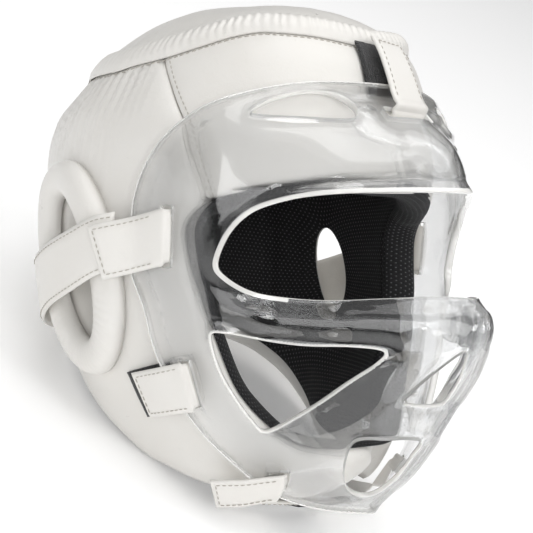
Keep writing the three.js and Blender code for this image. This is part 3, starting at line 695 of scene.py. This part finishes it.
def dents(turn, z):
    """Soft unevenness of foam under leather, with the gathers."""
    p = on_head(turn, z)
    lumps = 0.55 * ripple(p, 34, 3.1) + 0.22 * ripple(p, 11, 7.7)
    back = smoothstep(fold(turn), 70, 84) * (1 - smoothstep(fold(turn), 168, 180))
    drop = seam_height(fold(turn)) - z
    reach = np.exp(-np.maximum(drop - 4, 0) / GATHERS["reach"])
    sway = 2.2 * ripple(p * (1, 1, 0.3), 26, 1.3)
    fold_wave = np.sin(turn * ARC / GATHERS["apart"] * 2 * math.pi + sway)
    gather = GATHERS["deep"] * back * reach * (1 - np.abs(fold_wave)) ** 2.2
    return lumps - gather


def padded_lift(turn, z, d):
    """How a padded panel's face rises: pulled in at its seams and soft away from them."""
    tuck = 1.7 * np.exp(-(d / 1.8) ** 1.2) + 0.7 * np.exp(-(d / 8) ** 2)
    quiet = smoothstep(d, 0, 7)
    return -tuck + dents(turn, z) * quiet


def forehead():
    seam = [[t - SEAM / ARC / 2, z] for t, z in SIDE_SEAM]
    brow = [p for p in FACE_EDGE if p[1] > 32]
    first = seam[0][0]
    top = [[t, float(seam_height(abs(t))) - SEAM / 2] for t in np.linspace(-first, first, 60)]
    right = spaced([top[-1]] + seam[1:], 3, closed=False, curved=True) / (ARC, 1)
    low = spaced(both(brow), 3, closed=False, curved=True) / (ARC, 1)
    low = low[::-1] if low[0][0] < 0 else low
    left = mirrored(right[::-1].tolist())
    outline = top + right.tolist()[1:] + low.tolist() + left[:-1]
    points, faces, places, marks = shell([spaced(outline, 2.2)], on_head, padded_lift,
                                         lambda t, z, d: -PADDING, step=2.4, walls=5, bulge=0.6)
    piece("forehead_pad", points, faces, WHITE, nodes=["forehead_panel"], pad=0.85)


def ear_outline(sign, grow=0.0, count=60, more_lean=0.0):
    a = np.linspace(0, 2 * math.pi, count, endpoint=False)
    x = (EAR["width"] / 2 + grow) * np.cos(a)
    y = (EAR["height"] / 2 + grow) * np.sin(a)
    tip = math.radians((EAR["lean"] + more_lean) * sign)
    u = EAR["turn"] * sign * ARC + x * math.cos(tip) + y * math.sin(tip)
    return np.stack([u, EAR["z"] + y * math.cos(tip) - x * math.sin(tip)], 1)


def ear_mouth(sign):
    """Moves places beside the ear hole towards its smaller inner mouth."""
    hole = ear_outline(sign)

    def move(turn, z):
        uv = np.stack([turn * ARC, z], 1)
        near = np.exp(-distance(uv, [hole]) / 14)
        shift = (EAR["inner"] - EAR["turn"]) * sign
        squeeze = EAR["mouth"] / EAR["height"] - 1
        return turn + near * shift, z + near * (z - EAR["z"]) * squeeze
    return move


def side_panel(sign, side):
    over_lap = sign < 0
    tip = -LAP["turn"] if over_lap else LAP["end"]
    seam = [[t + SEAM / ARC / 2, z] for t, z in SIDE_SEAM]
    face = [p for p in FACE_EDGE if p[1] < 32][1:-1]
    chin = ([[tip + 4, -84.2], [tip, -89], [tip, -95], [tip + 9, -103]] if over_lap
            else [[tip + 3, -85], [tip, -92], [tip + 1, -100], [tip + 8, -106]])
    first = seam[0][0]
    last = 180 - SEAM / ARC / 2
    top = [[t, float(seam_height(t)) - SEAM / 2] for t in np.linspace(last, first, 70)]
    front = spaced([top[-1]] + seam[1:] + face + chin, 3, closed=False, curved=True) / (ARC, 1)
    end = chin[-1]
    low = []
    for t in np.linspace(end[0], last, 90):
        ease = smoothstep(t, end[0], end[0] + 16)
        low.append([t, end[1] + (float(lower_edge(t)) - end[1]) * float(ease)])
    outline = mirrored(top + front.tolist()[1:] + low[1:], sign)

    def blend(turn):
        return smoothstep(LAP["start"] - turn * sign, 0, 7)

    def over(turn, z, d):
        return padded_lift(turn, z, d) - LAP["sink" if over_lap else "under"] * blend(turn)

    def under(turn, z, d):
        thick = PADDING - LAP["cover"] - LAP["sink"] if over_lap else LAP["slack"]
        return -PADDING + hemmed(turn, z) + thick * blend(turn)
    points, faces, places, marks = shell(
        [spaced(outline, 2.2), ear_outline(sign)], on_head, over, under,
        step=2.4, walls=5, bulge=0.5, inner=ear_mouth(sign))
    piece("side_pad_" + side, points, faces, WHITE, nodes=["side_panel_" + side], pad=0.85)


forehead()
for sign, side in SIDES:
    side_panel(sign, side)


def crown():
    turns, rings = 200, 44
    turn = np.arange(turns) * 360 / turns
    share = np.concatenate([[1.0, 0.995, 0.985], np.linspace(0.965, 0.02, rings)])
    rows = []
    for s in share:
        p = crown_point(turn, s)
        soft = 0.7 * ripple(p, 30, 5.5) + 0.2 * ripple(p, 9, 2.5)
        near = np.exp(-(1 - s) * CROWN_TOP["reach"] / 13)
        wave = np.sin(turn * math.pi / 180 * 74 + 3 * ripple(p, 20, 8.8))
        lift = soft * (1 - near) + 0.55 * near * wave * smoothstep(1 - s, 0.05, 0.12)
        lift = lift - 2.4 * np.exp(-(1 - s) * CROWN_TOP["reach"] / 3)
        rows.append(crown_point(turn, s, lift))
    low = [crown_point(turn, s * 0.95, -CROWN_TOP["pad"])
           for s in (0.06, 0.3, 0.6, 0.82, 0.96, 1.0)]
    points, faces = tube(rows + low, closed=False)
    flip = faces[0][1] - faces[0][0] != 1
    # Under and over the middle, the skin closes in two fans, and the rim joins its two faces.
    mid_top, mid_low = (len(rows) - 1) * turns, len(rows) * turns
    rim_low = (len(rows) + len(low) - 1) * turns
    kept = [f for f in faces if len(f) <= 4 and not min(f) < mid_low <= max(f)]
    top_id, low_id = len(points), len(points) + 1
    points = np.vstack([points, [0, CROWN_TOP["y"], CROWN_TOP["z"] + 0.2],
                        [0, CROWN_TOP["y"], CROWN_TOP["z"] - CROWN_TOP["pad"]]])
    join = []
    for i in range(turns):
        k = (i + 1) % turns
        top_fan = (mid_top + i, mid_top + k, top_id)
        low_fan = (mid_low + k, mid_low + i, low_id)
        outer = (k, i, rim_low + i, rim_low + k)
        join += [f[::-1] if flip else f for f in (top_fan, low_fan, outer)]
    piece("crown_cushion", points, kept + join, WHITE, nodes=["crown_pad"], pad=0.7)


def binding():
    """Gathered leather over the seam between the crown and the sides."""
    steps = 900
    turn = np.arange(steps) * 360 / steps
    p = on_head(turn, seam_height(fold(turn)))
    along = lengths(np.vstack([p, p[:1]]))[:-1]
    jitter = 2.4 * ripple(p, 9, 4.4)
    pucker = np.sin(along / 4.3 * 2 * math.pi + jitter) * (0.75 + 0.5 * ripple(p, 14, 9.1))
    section = [  # way up over the seam, share of the height, share of the puckers
        (-3.4, -0.05, 0.0), (-2.8, 0.12, 0.1), (-1.6, 0.42, 0.4), (0.0, 0.76, 0.8),
        (1.7, 0.96, 1.0), (3.4, 1.0, 1.0), (4.9, 0.88, 0.9), (6.0, 0.62, 0.6), (6.7, 0.3, 0.2),
        (6.3, 0.0, 0.0), (3.0, -0.1, 0.0), (0.6, -0.2, 0.0), (-1.8, -0.25, 0.0),
    ]
    rows = []
    for d, high, moved in section:
        soft = 1 - 0.45 * smoothstep(fold(turn), 62, 100)
        lift = (4.3 * high + 0.38 * moved * pucker) * soft
        z = seam_height(fold(turn))
        rows.append(on_head(turn, z + d, lift) if d < 0.5 else
                    crown_point(turn, 1 - d / CROWN_TOP["reach"], lift))
    rows = np.transpose(np.array(rows), (1, 0, 2))
    points, faces = tube(rows)
    piece("crown_roll", points, faces, WHITE, nodes=["crown_binding"], pad=0.6)


crown()
binding()


def ear_rings(sign, side):
    half = EAR["ring"] / 2
    count, arch, flat = 220, 14, 4  # places round the ring, over its back and along its base
    a = np.linspace(0, 2 * math.pi, count, endpoint=False)
    inner, outer = (ear_outline(sign, grow, count, 3.0) for grow in (1.0, EAR["ring"] + 1.0))
    middle = (inner + outer) / 2
    spread = (outer - inner) / np.linalg.norm(outer - inner, axis=1)[:, None]
    wave = np.sin(a * 64 + 2.5 * np.sin(3 * a)) * smoothstep(-np.sin(a), 0.1, 0.75)
    rows = []
    for k in range(arch + flat):
        bowed = k < arch
        b = math.pi * k / (arch - 1) if bowed else math.pi
        x = -half * math.cos(b) if bowed else half - (k - arch + 1) * 2 * half / (flat + 1)
        y = 2 * GAP + EAR["rise"] * abs(math.sin(b)) ** 0.75 if bowed else 0.3
        places = middle + spread * (x * 0.98)
        turn, z = places[:, 0] / ARC, places[:, 1]
        p = on_head(turn, z)
        soft = 0.3 * ripple(p, 17, 6.1) + 0.28 * wave
        rows.append(on_head(turn, z, y + (soft * abs(math.sin(b)) if bowed else 0)))
    rows = np.transpose(np.array(rows), (1, 0, 2))
    points, faces = tube(rows)
    piece("ear_cushion_" + side, points, faces, WHITE, nodes=["ear_ring_" + side], pad=0.8)


for sign, side in SIDES:
    ear_rings(sign, side)


# Lining and the roll round the face

def face_loop(step):
    return spaced(FACE_EDGE[:-1] + mirrored(FACE_EDGE[1:][::-1]), step, curved=True)


def lining():
    top = [[t, float(seam_height(fold(t))) - 3] for t in np.linspace(-179.8, 179.8, 160)]
    low = [[t, float(lining_edge(fold(t)))] for t in np.linspace(179.8, -179.8, 160)]
    outline = spaced(top + low, 3.0)
    loops = [outline, face_loop(3.0), ear_outline(-1), ear_outline(1)]

    def quilt(turn, z):
        p = on_head(turn, z)
        channel = np.minimum(np.abs(fold(turn) - 122) * ARC, np.abs(fold(turn) - 155) * ARC)
        sewn = 3.2 * np.exp(-(channel / 4.0) ** 2)
        return 0.5 * ripple(p, 25, 2.2) - sewn

    def inner(turn, z):
        a, b = ear_mouth(-1)(turn, z)
        c, d = ear_mouth(1)(turn, z)
        return a + c - turn, b + d - z

    def moved(turn, z, lift=0.0):
        t, h = inner(np.atleast_1d(turn), np.atleast_1d(z))
        return on_head(t, h, lift)

    def under(turn, z, d):
        soft = -LINER - LINING - quilt(turn, z) * smoothstep(d, 0, 8)
        return soft + 0.8 * hemmed(turn, z) + 0.8 * np.exp(-(d / 2.0) ** 2)
    points, faces, places, marks = shell(
        loops, moved, lambda t, z, d: -LINER + 0.8 * hemmed(t, z), under, step=3.2, bulge=0.2)
    piece("mesh_cloth", points, faces, MESH, nodes=["mesh_lining"], places=places, pad=0.5)


def face_roll():
    path = face_loop(1.6)
    n = len(path)
    tangent = np.roll(path, -2, 0) - np.roll(path, 2, 0)
    inward = np.stack([tangent[:, 1], -tangent[:, 0]], 1)
    inward /= np.linalg.norm(inward, axis=1)[:, None]
    middle = path.mean(0)
    if ((middle - path) * inward).sum() < 0:
        inward = -inward
    along = lengths(path)
    section = [(0.6, -1.2), (3, -1.6), (5.4, -3), (7.2, -5.2), (7.9, -8), (7.8, -11), (7.0, -14.2),
               (5, -17), (2.6, -18.8), (0.8, -19.4), (0.4, -14), (0.4, -7)]
    rows, places = [], []
    slim = 0.42 + 0.58 * smoothstep(path[:, 1], -22, 6)
    slim -= 0.3 * smoothstep(fold(path[:, 0] / ARC), 50, 58) * smoothstep(path[:, 1], -8, 4)
    slim = slim[:, None]
    for k, (d, lift) in enumerate(section):
        q = path + inward * d * slim
        turn, z = q[:, 0] / ARC, q[:, 1]
        soft = 0.35 * ripple(on_head(turn, z), 12, 1.9) if 1 < k < 9 else 0
        rows.append(on_head(turn, z, lift + soft))
        places.append(np.stack([along, np.full(n, 2.5 * k)], 1))
    points, faces = tube(np.transpose(np.array(rows), (1, 0, 2)))
    places = np.transpose(np.array(places), (1, 0, 2)).reshape(-1, 2)
    piece("face_edge_roll", points, faces, MESH, nodes=["face_roll"], places=places, pad=0.8)


lining()
face_roll()


# Clear face shield

SHIELD_TOP = [[74, 26], [73, 35], [71, 46], [66, 60], [59, 71], [52, 78], [42, 84], [30, 88.5],
              [16, 90.5], [0, 91]]
SHIELD_SIDE = [[74, 26], [74, 8], [74, -4], [70, -20], [67, -38], [61, -60], [53, -77], [45, -90]]
SHIELD_LOW = [[45, -90], [38, -99], [29, -107], [15, -113], [0, -115]]
EYE_TOP = [[50.5, 3], [48.5, 15], [45, 24], [40, 30], [30, 35.5], [16, 38.5], [0, 40]]
EYE_LOW = [[50.5, 3], [48.5, -3], [43, -9], [36, -11.5], [26, -12], [14, -9.5], [6, -7.5], [0, -7.5]]
CHEEK_HOLE = [[51.5, -30], [48, -28.5], [40, -31], [30, -33], [20, -33], [14.5, -34.5], [15.5, -40],
              [20, -49], [26, -60], [33, -70], [37, -73.5], [39.5, -71], [44.5, -60], [49, -46]]
MOUTH_VENT = [[3.2, -32.5], [2.6, -40], [2.4, -52], [3.4, -58.5], [8.6, -58.5], [8, -53], [6.2, -44]]
CHIN_VENT = [[3, -76], [9, -76], [14.5, -76.5], [16, -82], [15, -93], [12, -101], [7, -105.5],
             [4, -104], [2.8, -96], [2.8, -85]]
TOP_VENT = [[44, 71.5], [41, 77], [36, 81], [30, 84], [23.5, 84], [19.5, 81.5], [17.5, 77],
            [18.5, 72.5], [22, 71], [32, 71]]
SLOTS = {
    "temple": [[65.4, 0], [65.4, 29], [62.4, 29], [62.4, 0]],
    "cheek": [[60.2, -43], [57.2, -42], [54, -64], [57, -65]],
    "chin": [[31.5, -94], [28.5, -94], [28, -103], [31, -103]],
}
BROW_SLOT = [[-9, 75], [0, 75], [9, 75], [9, 80], [0, 80], [-9, 80]]
# Widths of the bands along the eye opening, the outer rim and the cheek holes where the pale plastic
# paints an edge highlight.
EYE_HIGHLIGHT_BAND, EDGE_HIGHLIGHT_BAND = 1.8, 0.7
# Small moulded bumps: turn, height, half length, half width, rise.
BUMPS = [[14.5, 78.5, 4.2, 2.2, 1.6], [55, 67, 1.8, 1.8, 1.2], [10, 62, 2.5, 1.6, 1.0]]


def face_shield():
    rim = both(SHIELD_TOP) + SHIELD_SIDE[1:] + SHIELD_LOW[1:]
    rim += mirrored(SHIELD_LOW[:-1][::-1]) + mirrored(SHIELD_SIDE[1:-1][::-1])
    outline = spaced(rim, 1.7, curved=True)
    lower = EYE_LOW[1:] + mirrored(EYE_LOW[1:-1][::-1])
    eye_loop = spaced(both(EYE_TOP) + lower, 1.7, curved=True)
    vents = {"cheek": CHEEK_HOLE, "mouth": MOUTH_VENT, "chin": CHIN_VENT, "top": TOP_VENT}
    holes = {key + str(s): spaced(mirrored(v, s), 1.3, curved=True)
             for key, v in vents.items() for s in (-1, 1)}
    slots = [spaced(mirrored(v, s), 1.1) for v in SLOTS.values() for s in (-1, 1)]
    slots.append(spaced(BROW_SLOT, 1.1))
    cheeks = [holes["cheek-1"], holes["cheek1"]]
    tops = [holes["top-1"], holes["top1"]]
    others = [holes[k] for k in ("mouth-1", "mouth1", "chin-1", "chin1")]

    def over(turn, z, d):
        uv = np.stack([turn * ARC, z], 1)
        rim_d, eye_d = distance(uv, [outline]), distance(uv, [eye_loop])
        cheek_d, top_d, vent_d = (distance(uv, group) for group in (cheeks, tops, others))
        lift = 0.0
        # Rolled edges, each with a groove beside it.
        for far, rise, wide, deep, at, narrow in ((rim_d, 0.9, 2.4, 0.5, 4.2, 1.0),
                                                  (eye_d, 1.5, 3.2, 0.5, 5.6, 1.2),
                                                  (cheek_d, 1.3, 2.6, 0.4, 4.8, 1.0)):
            lift = lift + rise * np.exp(-(far / wide) ** 2) - deep * np.exp(-((far - at) / narrow) ** 2)
        lift = lift + 1.0 * np.exp(-(vent_d / 1.8) ** 2) + 1.6 * np.exp(-(top_d / 2.2) ** 2)
        # The nose bar's edges turn back towards the face.
        bar = smoothstep(z, -42, -30) * (1 - smoothstep(z, -4, 6))
        bar = bar * (1 - smoothstep(fold(turn), 40, 52))
        lift = lift - bar * (4.2 * np.exp(-(eye_d / 4.6) ** 2) + 3.4 * np.exp(-(cheek_d / 4.4) ** 2))
        for t, h, long, wide, rise in BUMPS:
            u = (fold(turn) - t) * ARC
            lift = lift + rise * smoothstep(1.6 - np.hypot(u / long, (z - h) / wide), 0, 0.9)
        return lift
    loops = [outline, eye_loop] + list(holes.values()) + slots
    points, faces, places, marks = shell(
        loops, on_shell, over, lambda t, z, d: over(t, z, d) * 0.55 - SHIELD,
        step=2.0, rings=(0.35, 0.9, 1.7, 2.8), walls=4, bulge=0.35)
    middles = np.array([np.mean([places[i] for i in f], axis=0) for f in faces])
    highlight_faces = distance(middles, [eye_loop]) < EYE_HIGHLIGHT_BAND
    # The lip is painted pale over the eye and at its outer end as a painted edge highlight, and left
    # clear along the nose bar.
    highlight_faces &= (middles[:, 1] > 20) | (np.abs(middles[:, 0]) > 58)
    highlight_faces |= distance(middles, [outline] + cheeks) < EDGE_HIGHLIGHT_BAND
    # The cut edges and these bands take the pale plastic, a painted edge highlight.
    piece("clear_shield", points, faces, CLEAR, CLEAR_EDGE_HIGHLIGHT, nodes=["face_shield"],
          marks=[1 if m == 2 or pale else 0 for m, pale in zip(marks, highlight_faces)])


face_shield()


# Straps and tabs

def ribbon(name, left, right, thick, nodes, count=90, across=14, border=2.2, far_end=False,
           sewn_to=None, tape=False):
    """A flat strap between two edge lines, with rounded edges.

    Leather has stitch rows at border inside its edges and one across its near end; the edge rows
    stop at border before its far end when far_end is set, or at sewn_to. Tape has none.
    """
    left, right = edge_line(left, count), edge_line(right, count)
    along = np.gradient(0.5 * (left + right), axis=0)
    wide = right - left
    width = np.linalg.norm(wide, axis=1)[:, None]
    side = wide / width
    normal = np.cross(along, side)
    normal /= np.linalg.norm(normal, axis=1)[:, None]
    middle = 0.5 * (left + right)
    if (normal * middle)[: count // 4].sum() < 0:
        normal = -normal
    length = lengths(middle)
    total = length[-1]
    puff = 0.0 if tape else 0.35
    rows = []
    top_share = np.linspace(0, 1, across)
    for i in range(count):
        w = float(width[i, 0])
        ends = min(length[i], total - length[i])
        draw = 1 - 0.35 * max(0.0, 1 - ends / 0.9) ** 2
        row = []
        for k, s in enumerate(top_share):
            off = min(s, 1 - s) * w
            edge = min(off, ends)
            lift = thick / 2 * (1 - 0.45 * max(0.0, 1 - edge / 0.7))
            lift += puff * (1 - math.exp(-edge / 3.5))
            lift -= 0.38 * math.exp(-((edge - border) / 0.55) ** 2)
            row.append(left[i] + side[i] * w * s + normal[i] * lift * draw)
        for s in top_share[::-1]:
            off = min(s, 1 - s) * w
            lift = thick / 2 * (1 - 0.45 * max(0.0, 1 - off / 0.7))
            row.append(left[i] + side[i] * w * s - normal[i] * lift * draw)
        rows.append(row)
    points, faces = tube(rows, closed=False)
    if tape:
        piece(name, points, faces, HOOK, nodes=nodes)
        return
    piece(name, points, faces, STRAP_WHITE, nodes=nodes)
    high = thick / 2 + puff * 0.3 + 0.05
    first = int(np.searchsorted(length, border))
    last = int(np.searchsorted(length, total - border)) if far_end else count - 1
    if sewn_to:
        last = int(np.searchsorted(length, sewn_to))
    runs = []
    for base, inset in ((left, border), (right, -border)):
        line = base + side * inset + normal * high
        runs.append((line[first:last + 1], normal[first:last + 1]))
    row = np.array([left[first] + side[first] * q + normal[first] * high
                    for q in np.linspace(border, float(width[first, 0]) - border, 20)])
    runs.append((row, np.repeat(normal[first:first + 1], 20, 0)))
    stitched(name + "_stitches", runs, pitch=2.9, long=2.1)


def tab_lines(corners, rise, slot, back, sign):
    """Edge lines of a tab: over the shell, round the bar of its slot and back under the shell."""
    lift = table(rise)
    a, b, c, d = corners
    out = []
    for outer, near, gap in ((a, b, slot[0]), (d, c, slot[1])):
        rows = []
        for s in np.linspace(0, 0.93, 9):
            t, z = outer[0] + (near[0] - outer[0]) * s, outer[1] + (near[1] - outer[1]) * s
            rows.append((t, z, float(lift(t)) + STRAP / 2))
        t, z = gap
        rows.append((t + 0.2, z, 0.7))
        rows.append((t - 0.35, z, -1.4))
        rows.append((t + 0.2, z, -3.4))
        rows.append((t + 1.8 + back, z, -SHIELD - 0.4 - STRAP / 2))
        rows.append((t + 4.2 + back, z, -SHIELD - 0.4 - STRAP / 2))
        r = np.array(rows)
        out.append(on_shell(r[:, 0] * sign, r[:, 1], r[:, 2]))
    return out


TABS = {
    "temple": dict(corners=[[84, 18], [63, 28], [63, 1.5], [80, -6]],
                   rise=[[62, 0.6], [71, 0.7], [74.5, 2.4], [78, 5.2], [81, 7.8], [85, 9]],
                   slot=[[63.4, 27], [63.4, 2.5]], back=1),
    "cheek": dict(corners=[[76.5, -51], [58, -42.5], [54.5, -65], [71.7, -71.5]],
                  rise=[[53, 0.6], [66, 0.6], [70, -0.4], [78, -2.2]],
                  slot=[[58.4, -43.6], [55.2, -63.8]], back=1),
    "chin": dict(corners=[[52, -100], [29, -94], [29, -107], [50, -114]],
                 rise=[[27, 0.6], [40, 0.6], [46, -0.6], [53, -2.4]],
                 slot=[[30.0, -95], [29.6, -102.4]], back=0.9),
}
for key, spec in TABS.items():
    for sign, side in SIDES:
        upper, lower = tab_lines(sign=sign, **spec)
        ribbon(key + "_strap_" + side, upper, lower, STRAP, [key + "_tab_" + side], sewn_to=30)


def brow_tab():
    rise = table([[77, 18.6], [80, 15], [85, 12], [90, 10.4], [97, 9.2], [106, 7.8], [114, 6]])
    out = []
    for turn, top in ((-6.8, 110.5), (5.6, 108.5)):
        heights = np.array([top, top - 1.5, 105.5, 102, 98, 94, 90, 86, 82.5, 80])
        rows = on_head(np.full(10, turn), heights, rise(heights) + STRAP / 2)
        inner = on_shell(np.full(4, turn), [78.3, 77.6, 78.4, 81], [0.6, -1.4, -3.6, -SHIELD - 1.6])
        out.append(np.vstack([rows, inner]))
    ribbon("forehead_strap", out[0], out[1], STRAP, ["forehead_tab"], sewn_to=33, border=2.4)


brow_tab()

BAND = np.array([  # turn, mid, width, lift
    [78, 12, 27, 7.4], [82, 10, 27.5, 11.1], [86, 7, 28, 11.9], [93, 1.5, 28.5, 12],
    [101, -4, 29, 12], [110, -10, 30, 11], [117, -14, 31, 8.5], [126, -18, 31, 2.5],
    [140, -20, 31, 0.8], [180, -19, 31, 0.8],
])


def back_band():
    mid, wide, rise = (table(BAND[:, [0, k]]) for k in (1, 2, 3))
    turn = np.linspace(BAND[0, 0], 360 - BAND[0, 0], 150)
    f = fold(turn)
    lines = [on_head(turn, mid(f) + s * wide(f), rise(f) + STRAP / 2) for s in (0.5, -0.5)]
    ribbon("back_band", lines[0], lines[1], STRAP, ["back_strap"], count=260, far_end=True)


back_band()


def patches():
    def fuzzy(points):
        return 0.28 * ripple(points, 1.6, 3.3)

    def patch(name, corners, low, node_name):
        def over(t, z, d):
            p = on_head(t, z, low + TAPE)
            return low + TAPE + fuzzy(p) - 0.5 * np.exp(-(d / 0.8) ** 2)
        points, faces, places, marks = shell([spaced(corners, 1.2)], on_head, over, lambda t, z, d: low,
                                             step=1.3, rings=(0.4, 1.0), walls=2, bulge=0.1)
        piece(name, points, faces, HOOK, nodes=[node_name])
    patch("forehead_hook_tape", [[-9.6, 112], [9, 112], [9, 84], [-9.6, 84]], 2 * GAP,
          "forehead_loop_patch")
    cheek = [[79.6, -50.5], [60.5, -41.5], [58, -66], [74.6, -71.5]]
    for sign, side in SIDES:
        patch("cheek_hook_tape_" + side, mirrored(cheek, sign), 2 * GAP, "cheek_loop_patch_" + side)
    patch("chin_hook_tape", [[-9, -88], [10, -88], [10, -104], [-9, -104]], -LAP["under"] + GAP,
          "chin_loop_patch")


patches()

CHIN_BAND = {"half": 46, "width": 22, "sag": 2, "y": -50, "z": -109.5, "reach": 14}


def under_chin():
    def lines(a, b, drop, inset, count=40):
        x = np.linspace(a, b, count)
        bow = 1 - (x / CHIN_BAND["half"]) ** 2
        out = []
        for side in (-1, 1):
            y = CHIN_BAND["y"] - CHIN_BAND["reach"] * bow + side * (CHIN_BAND["width"] / 2 - inset)
            out.append(np.stack([x, y, CHIN_BAND["z"] - CHIN_BAND["sag"] * bow - drop], 1))
        return out
    left, right = lines(-CHIN_BAND["half"], CHIN_BAND["half"], STRAP / 2, 0)
    ribbon("chin_band", left, right, STRAP, ["chin_strap"], far_end=True, count=110)
    left, right = lines(-22, 8, STRAP + GAP + 0.6, 2, 20)
    ribbon("chin_band_tape", left, right, TAPE, ["chin_strap_hook"], tape=True, count=40)


under_chin()


# Stitch rows on the padded leather

def leather_stitches():
    def run(places, from_edge):
        p = spaced(places, 1.5, closed=False, curved=True)
        turn, z = p[:, 0] / ARC, p[:, 1]
        high = padded_lift(turn, z, np.full(len(turn), from_edge)) + 0.1
        line = on_head(turn, z, high)
        return line, on_head(turn, z, high + 1.0) - line
    crown_row = [[t, float(seam_height(fold(t))) - 4.2] for t in np.linspace(-180, 180, 181)]
    runs = [run(crown_row, 3.4)]
    runs += [run([[(t - 2.4) * sign, z] for t, z in SIDE_SEAM], 3.0) for sign in (-1, 1)]
    stitched("seam_stitches", runs, pitch=3.3, long=2.3)


leather_stitches()


# Floor, light and camera

def studio():
    bpy.ops.mesh.primitive_plane_add(size=12, location=(0, 0, -0.0002))  # just under the part
    floor = bpy.context.object
    floor.name = "floor"
    m, tree, shader = material("pale_floor")
    finish(shader, {"Base Color": grey(0.97), "Roughness": 0.8, "Emission Color": grey(1),
                    "Emission Strength": 0.14})
    floor.data.materials.append(m)
    world = bpy.data.worlds.new("studio")
    world.use_nodes = True
    bpy.context.scene.world = world
    tree = world.node_tree
    split = node(tree, "ShaderNodeSeparateXYZ")
    tree.links.new(node(tree, "ShaderNodeTexCoord").outputs["Generated"], split.inputs[0])
    # A room: dark walls up to the windows' height, then a bright ceiling.
    walls = ramp(tree, split.outputs[2],
                 [(0.0, grey(0.6)), (0.03, grey(0.13)), (0.36, grey(0.18)), (0.55, grey(0.9))])
    tree.links.new(walls, tree.nodes["Background"].inputs["Color"])
    tree.nodes["Background"].inputs["Strength"].default_value = 0.62
    bpy.context.scene.view_settings.view_transform = "Standard"

    def lamp(name, place, aim, size, power):
        data = bpy.data.lights.new(name, "AREA")
        data.shape = "RECTANGLE"
        data.size, data.size_y = size
        data.energy = power
        obj = bpy.data.objects.new(name, data)
        bpy.context.collection.objects.link(obj)
        obj.location = place
        obj.rotation_euler = (Vector(aim) - Vector(place)).to_track_quat("-Z", "Y").to_euler()
    target = (0, 0, 0.11)
    lamp("window_left", (-0.80, -1.25, 1.0), target, (0.22, 0.6), 3)
    lamp("window_near", (0.0, -1.55, 1.15), target, (0.3, 0.8), 5)
    lamp("window_far", (1.1, -1.2, 1.25), target, (0.5, 0.9), 5)
    lamp("fill", (-1.6, -1.1, 0.9), target, (1.2, 0.9), 8)
    lamp("top", (-0.1, 0.2, 1.9), target, (1.8, 1.6), 16)


# The photograph: its side, focal length and optical centre in pixels, and where it was taken from on
# the level head, in degrees and millimetres.
PHOTO = {"side": 533, "focal": 1492, "centre": (236.3, 268.5)}
STAND = {"azimuth": -46.2, "elevation": 0.6, "roll": 2.2, "far": 790}


def photo_camera():
    """The photograph's place and framing, found on the level head and tipped back with it."""
    azimuth, elevation, roll = (math.radians(STAND[k]) for k in ("azimuth", "elevation", "roll"))
    across = math.cos(elevation)
    back = np.array([math.sin(azimuth) * across, -math.cos(azimuth) * across, math.sin(elevation)])
    right = np.array([math.cos(azimuth), math.sin(azimuth), 0.0])
    up = np.cross(back, right)
    r = math.cos(roll) * right + math.sin(roll) * up
    u = -math.sin(roll) * right + math.cos(roll) * up
    origin = rest(np.zeros(3))
    place = rest(back * STAND["far"])
    axes = [(rest(v * 1000) - origin) for v in (r, u, back)]
    data = bpy.data.cameras.new("photo_camera")
    data.sensor_fit = "HORIZONTAL"
    data.sensor_width = 36
    data.lens = PHOTO["focal"] / PHOTO["side"] * data.sensor_width
    data.shift_x = (PHOTO["side"] / 2 - PHOTO["centre"][0]) / PHOTO["side"]
    data.shift_y = (PHOTO["centre"][1] - PHOTO["side"] / 2) / PHOTO["side"]
    camera = bpy.data.objects.new("photo_camera", data)
    bpy.context.collection.objects.link(camera)
    columns = (*axes, place)
    camera.matrix_world = Matrix([[float(c[row]) for c in columns] for row in range(3)] + [[0, 0, 0, 1]])
    bpy.context.scene.camera = camera


studio()
photo_camera()
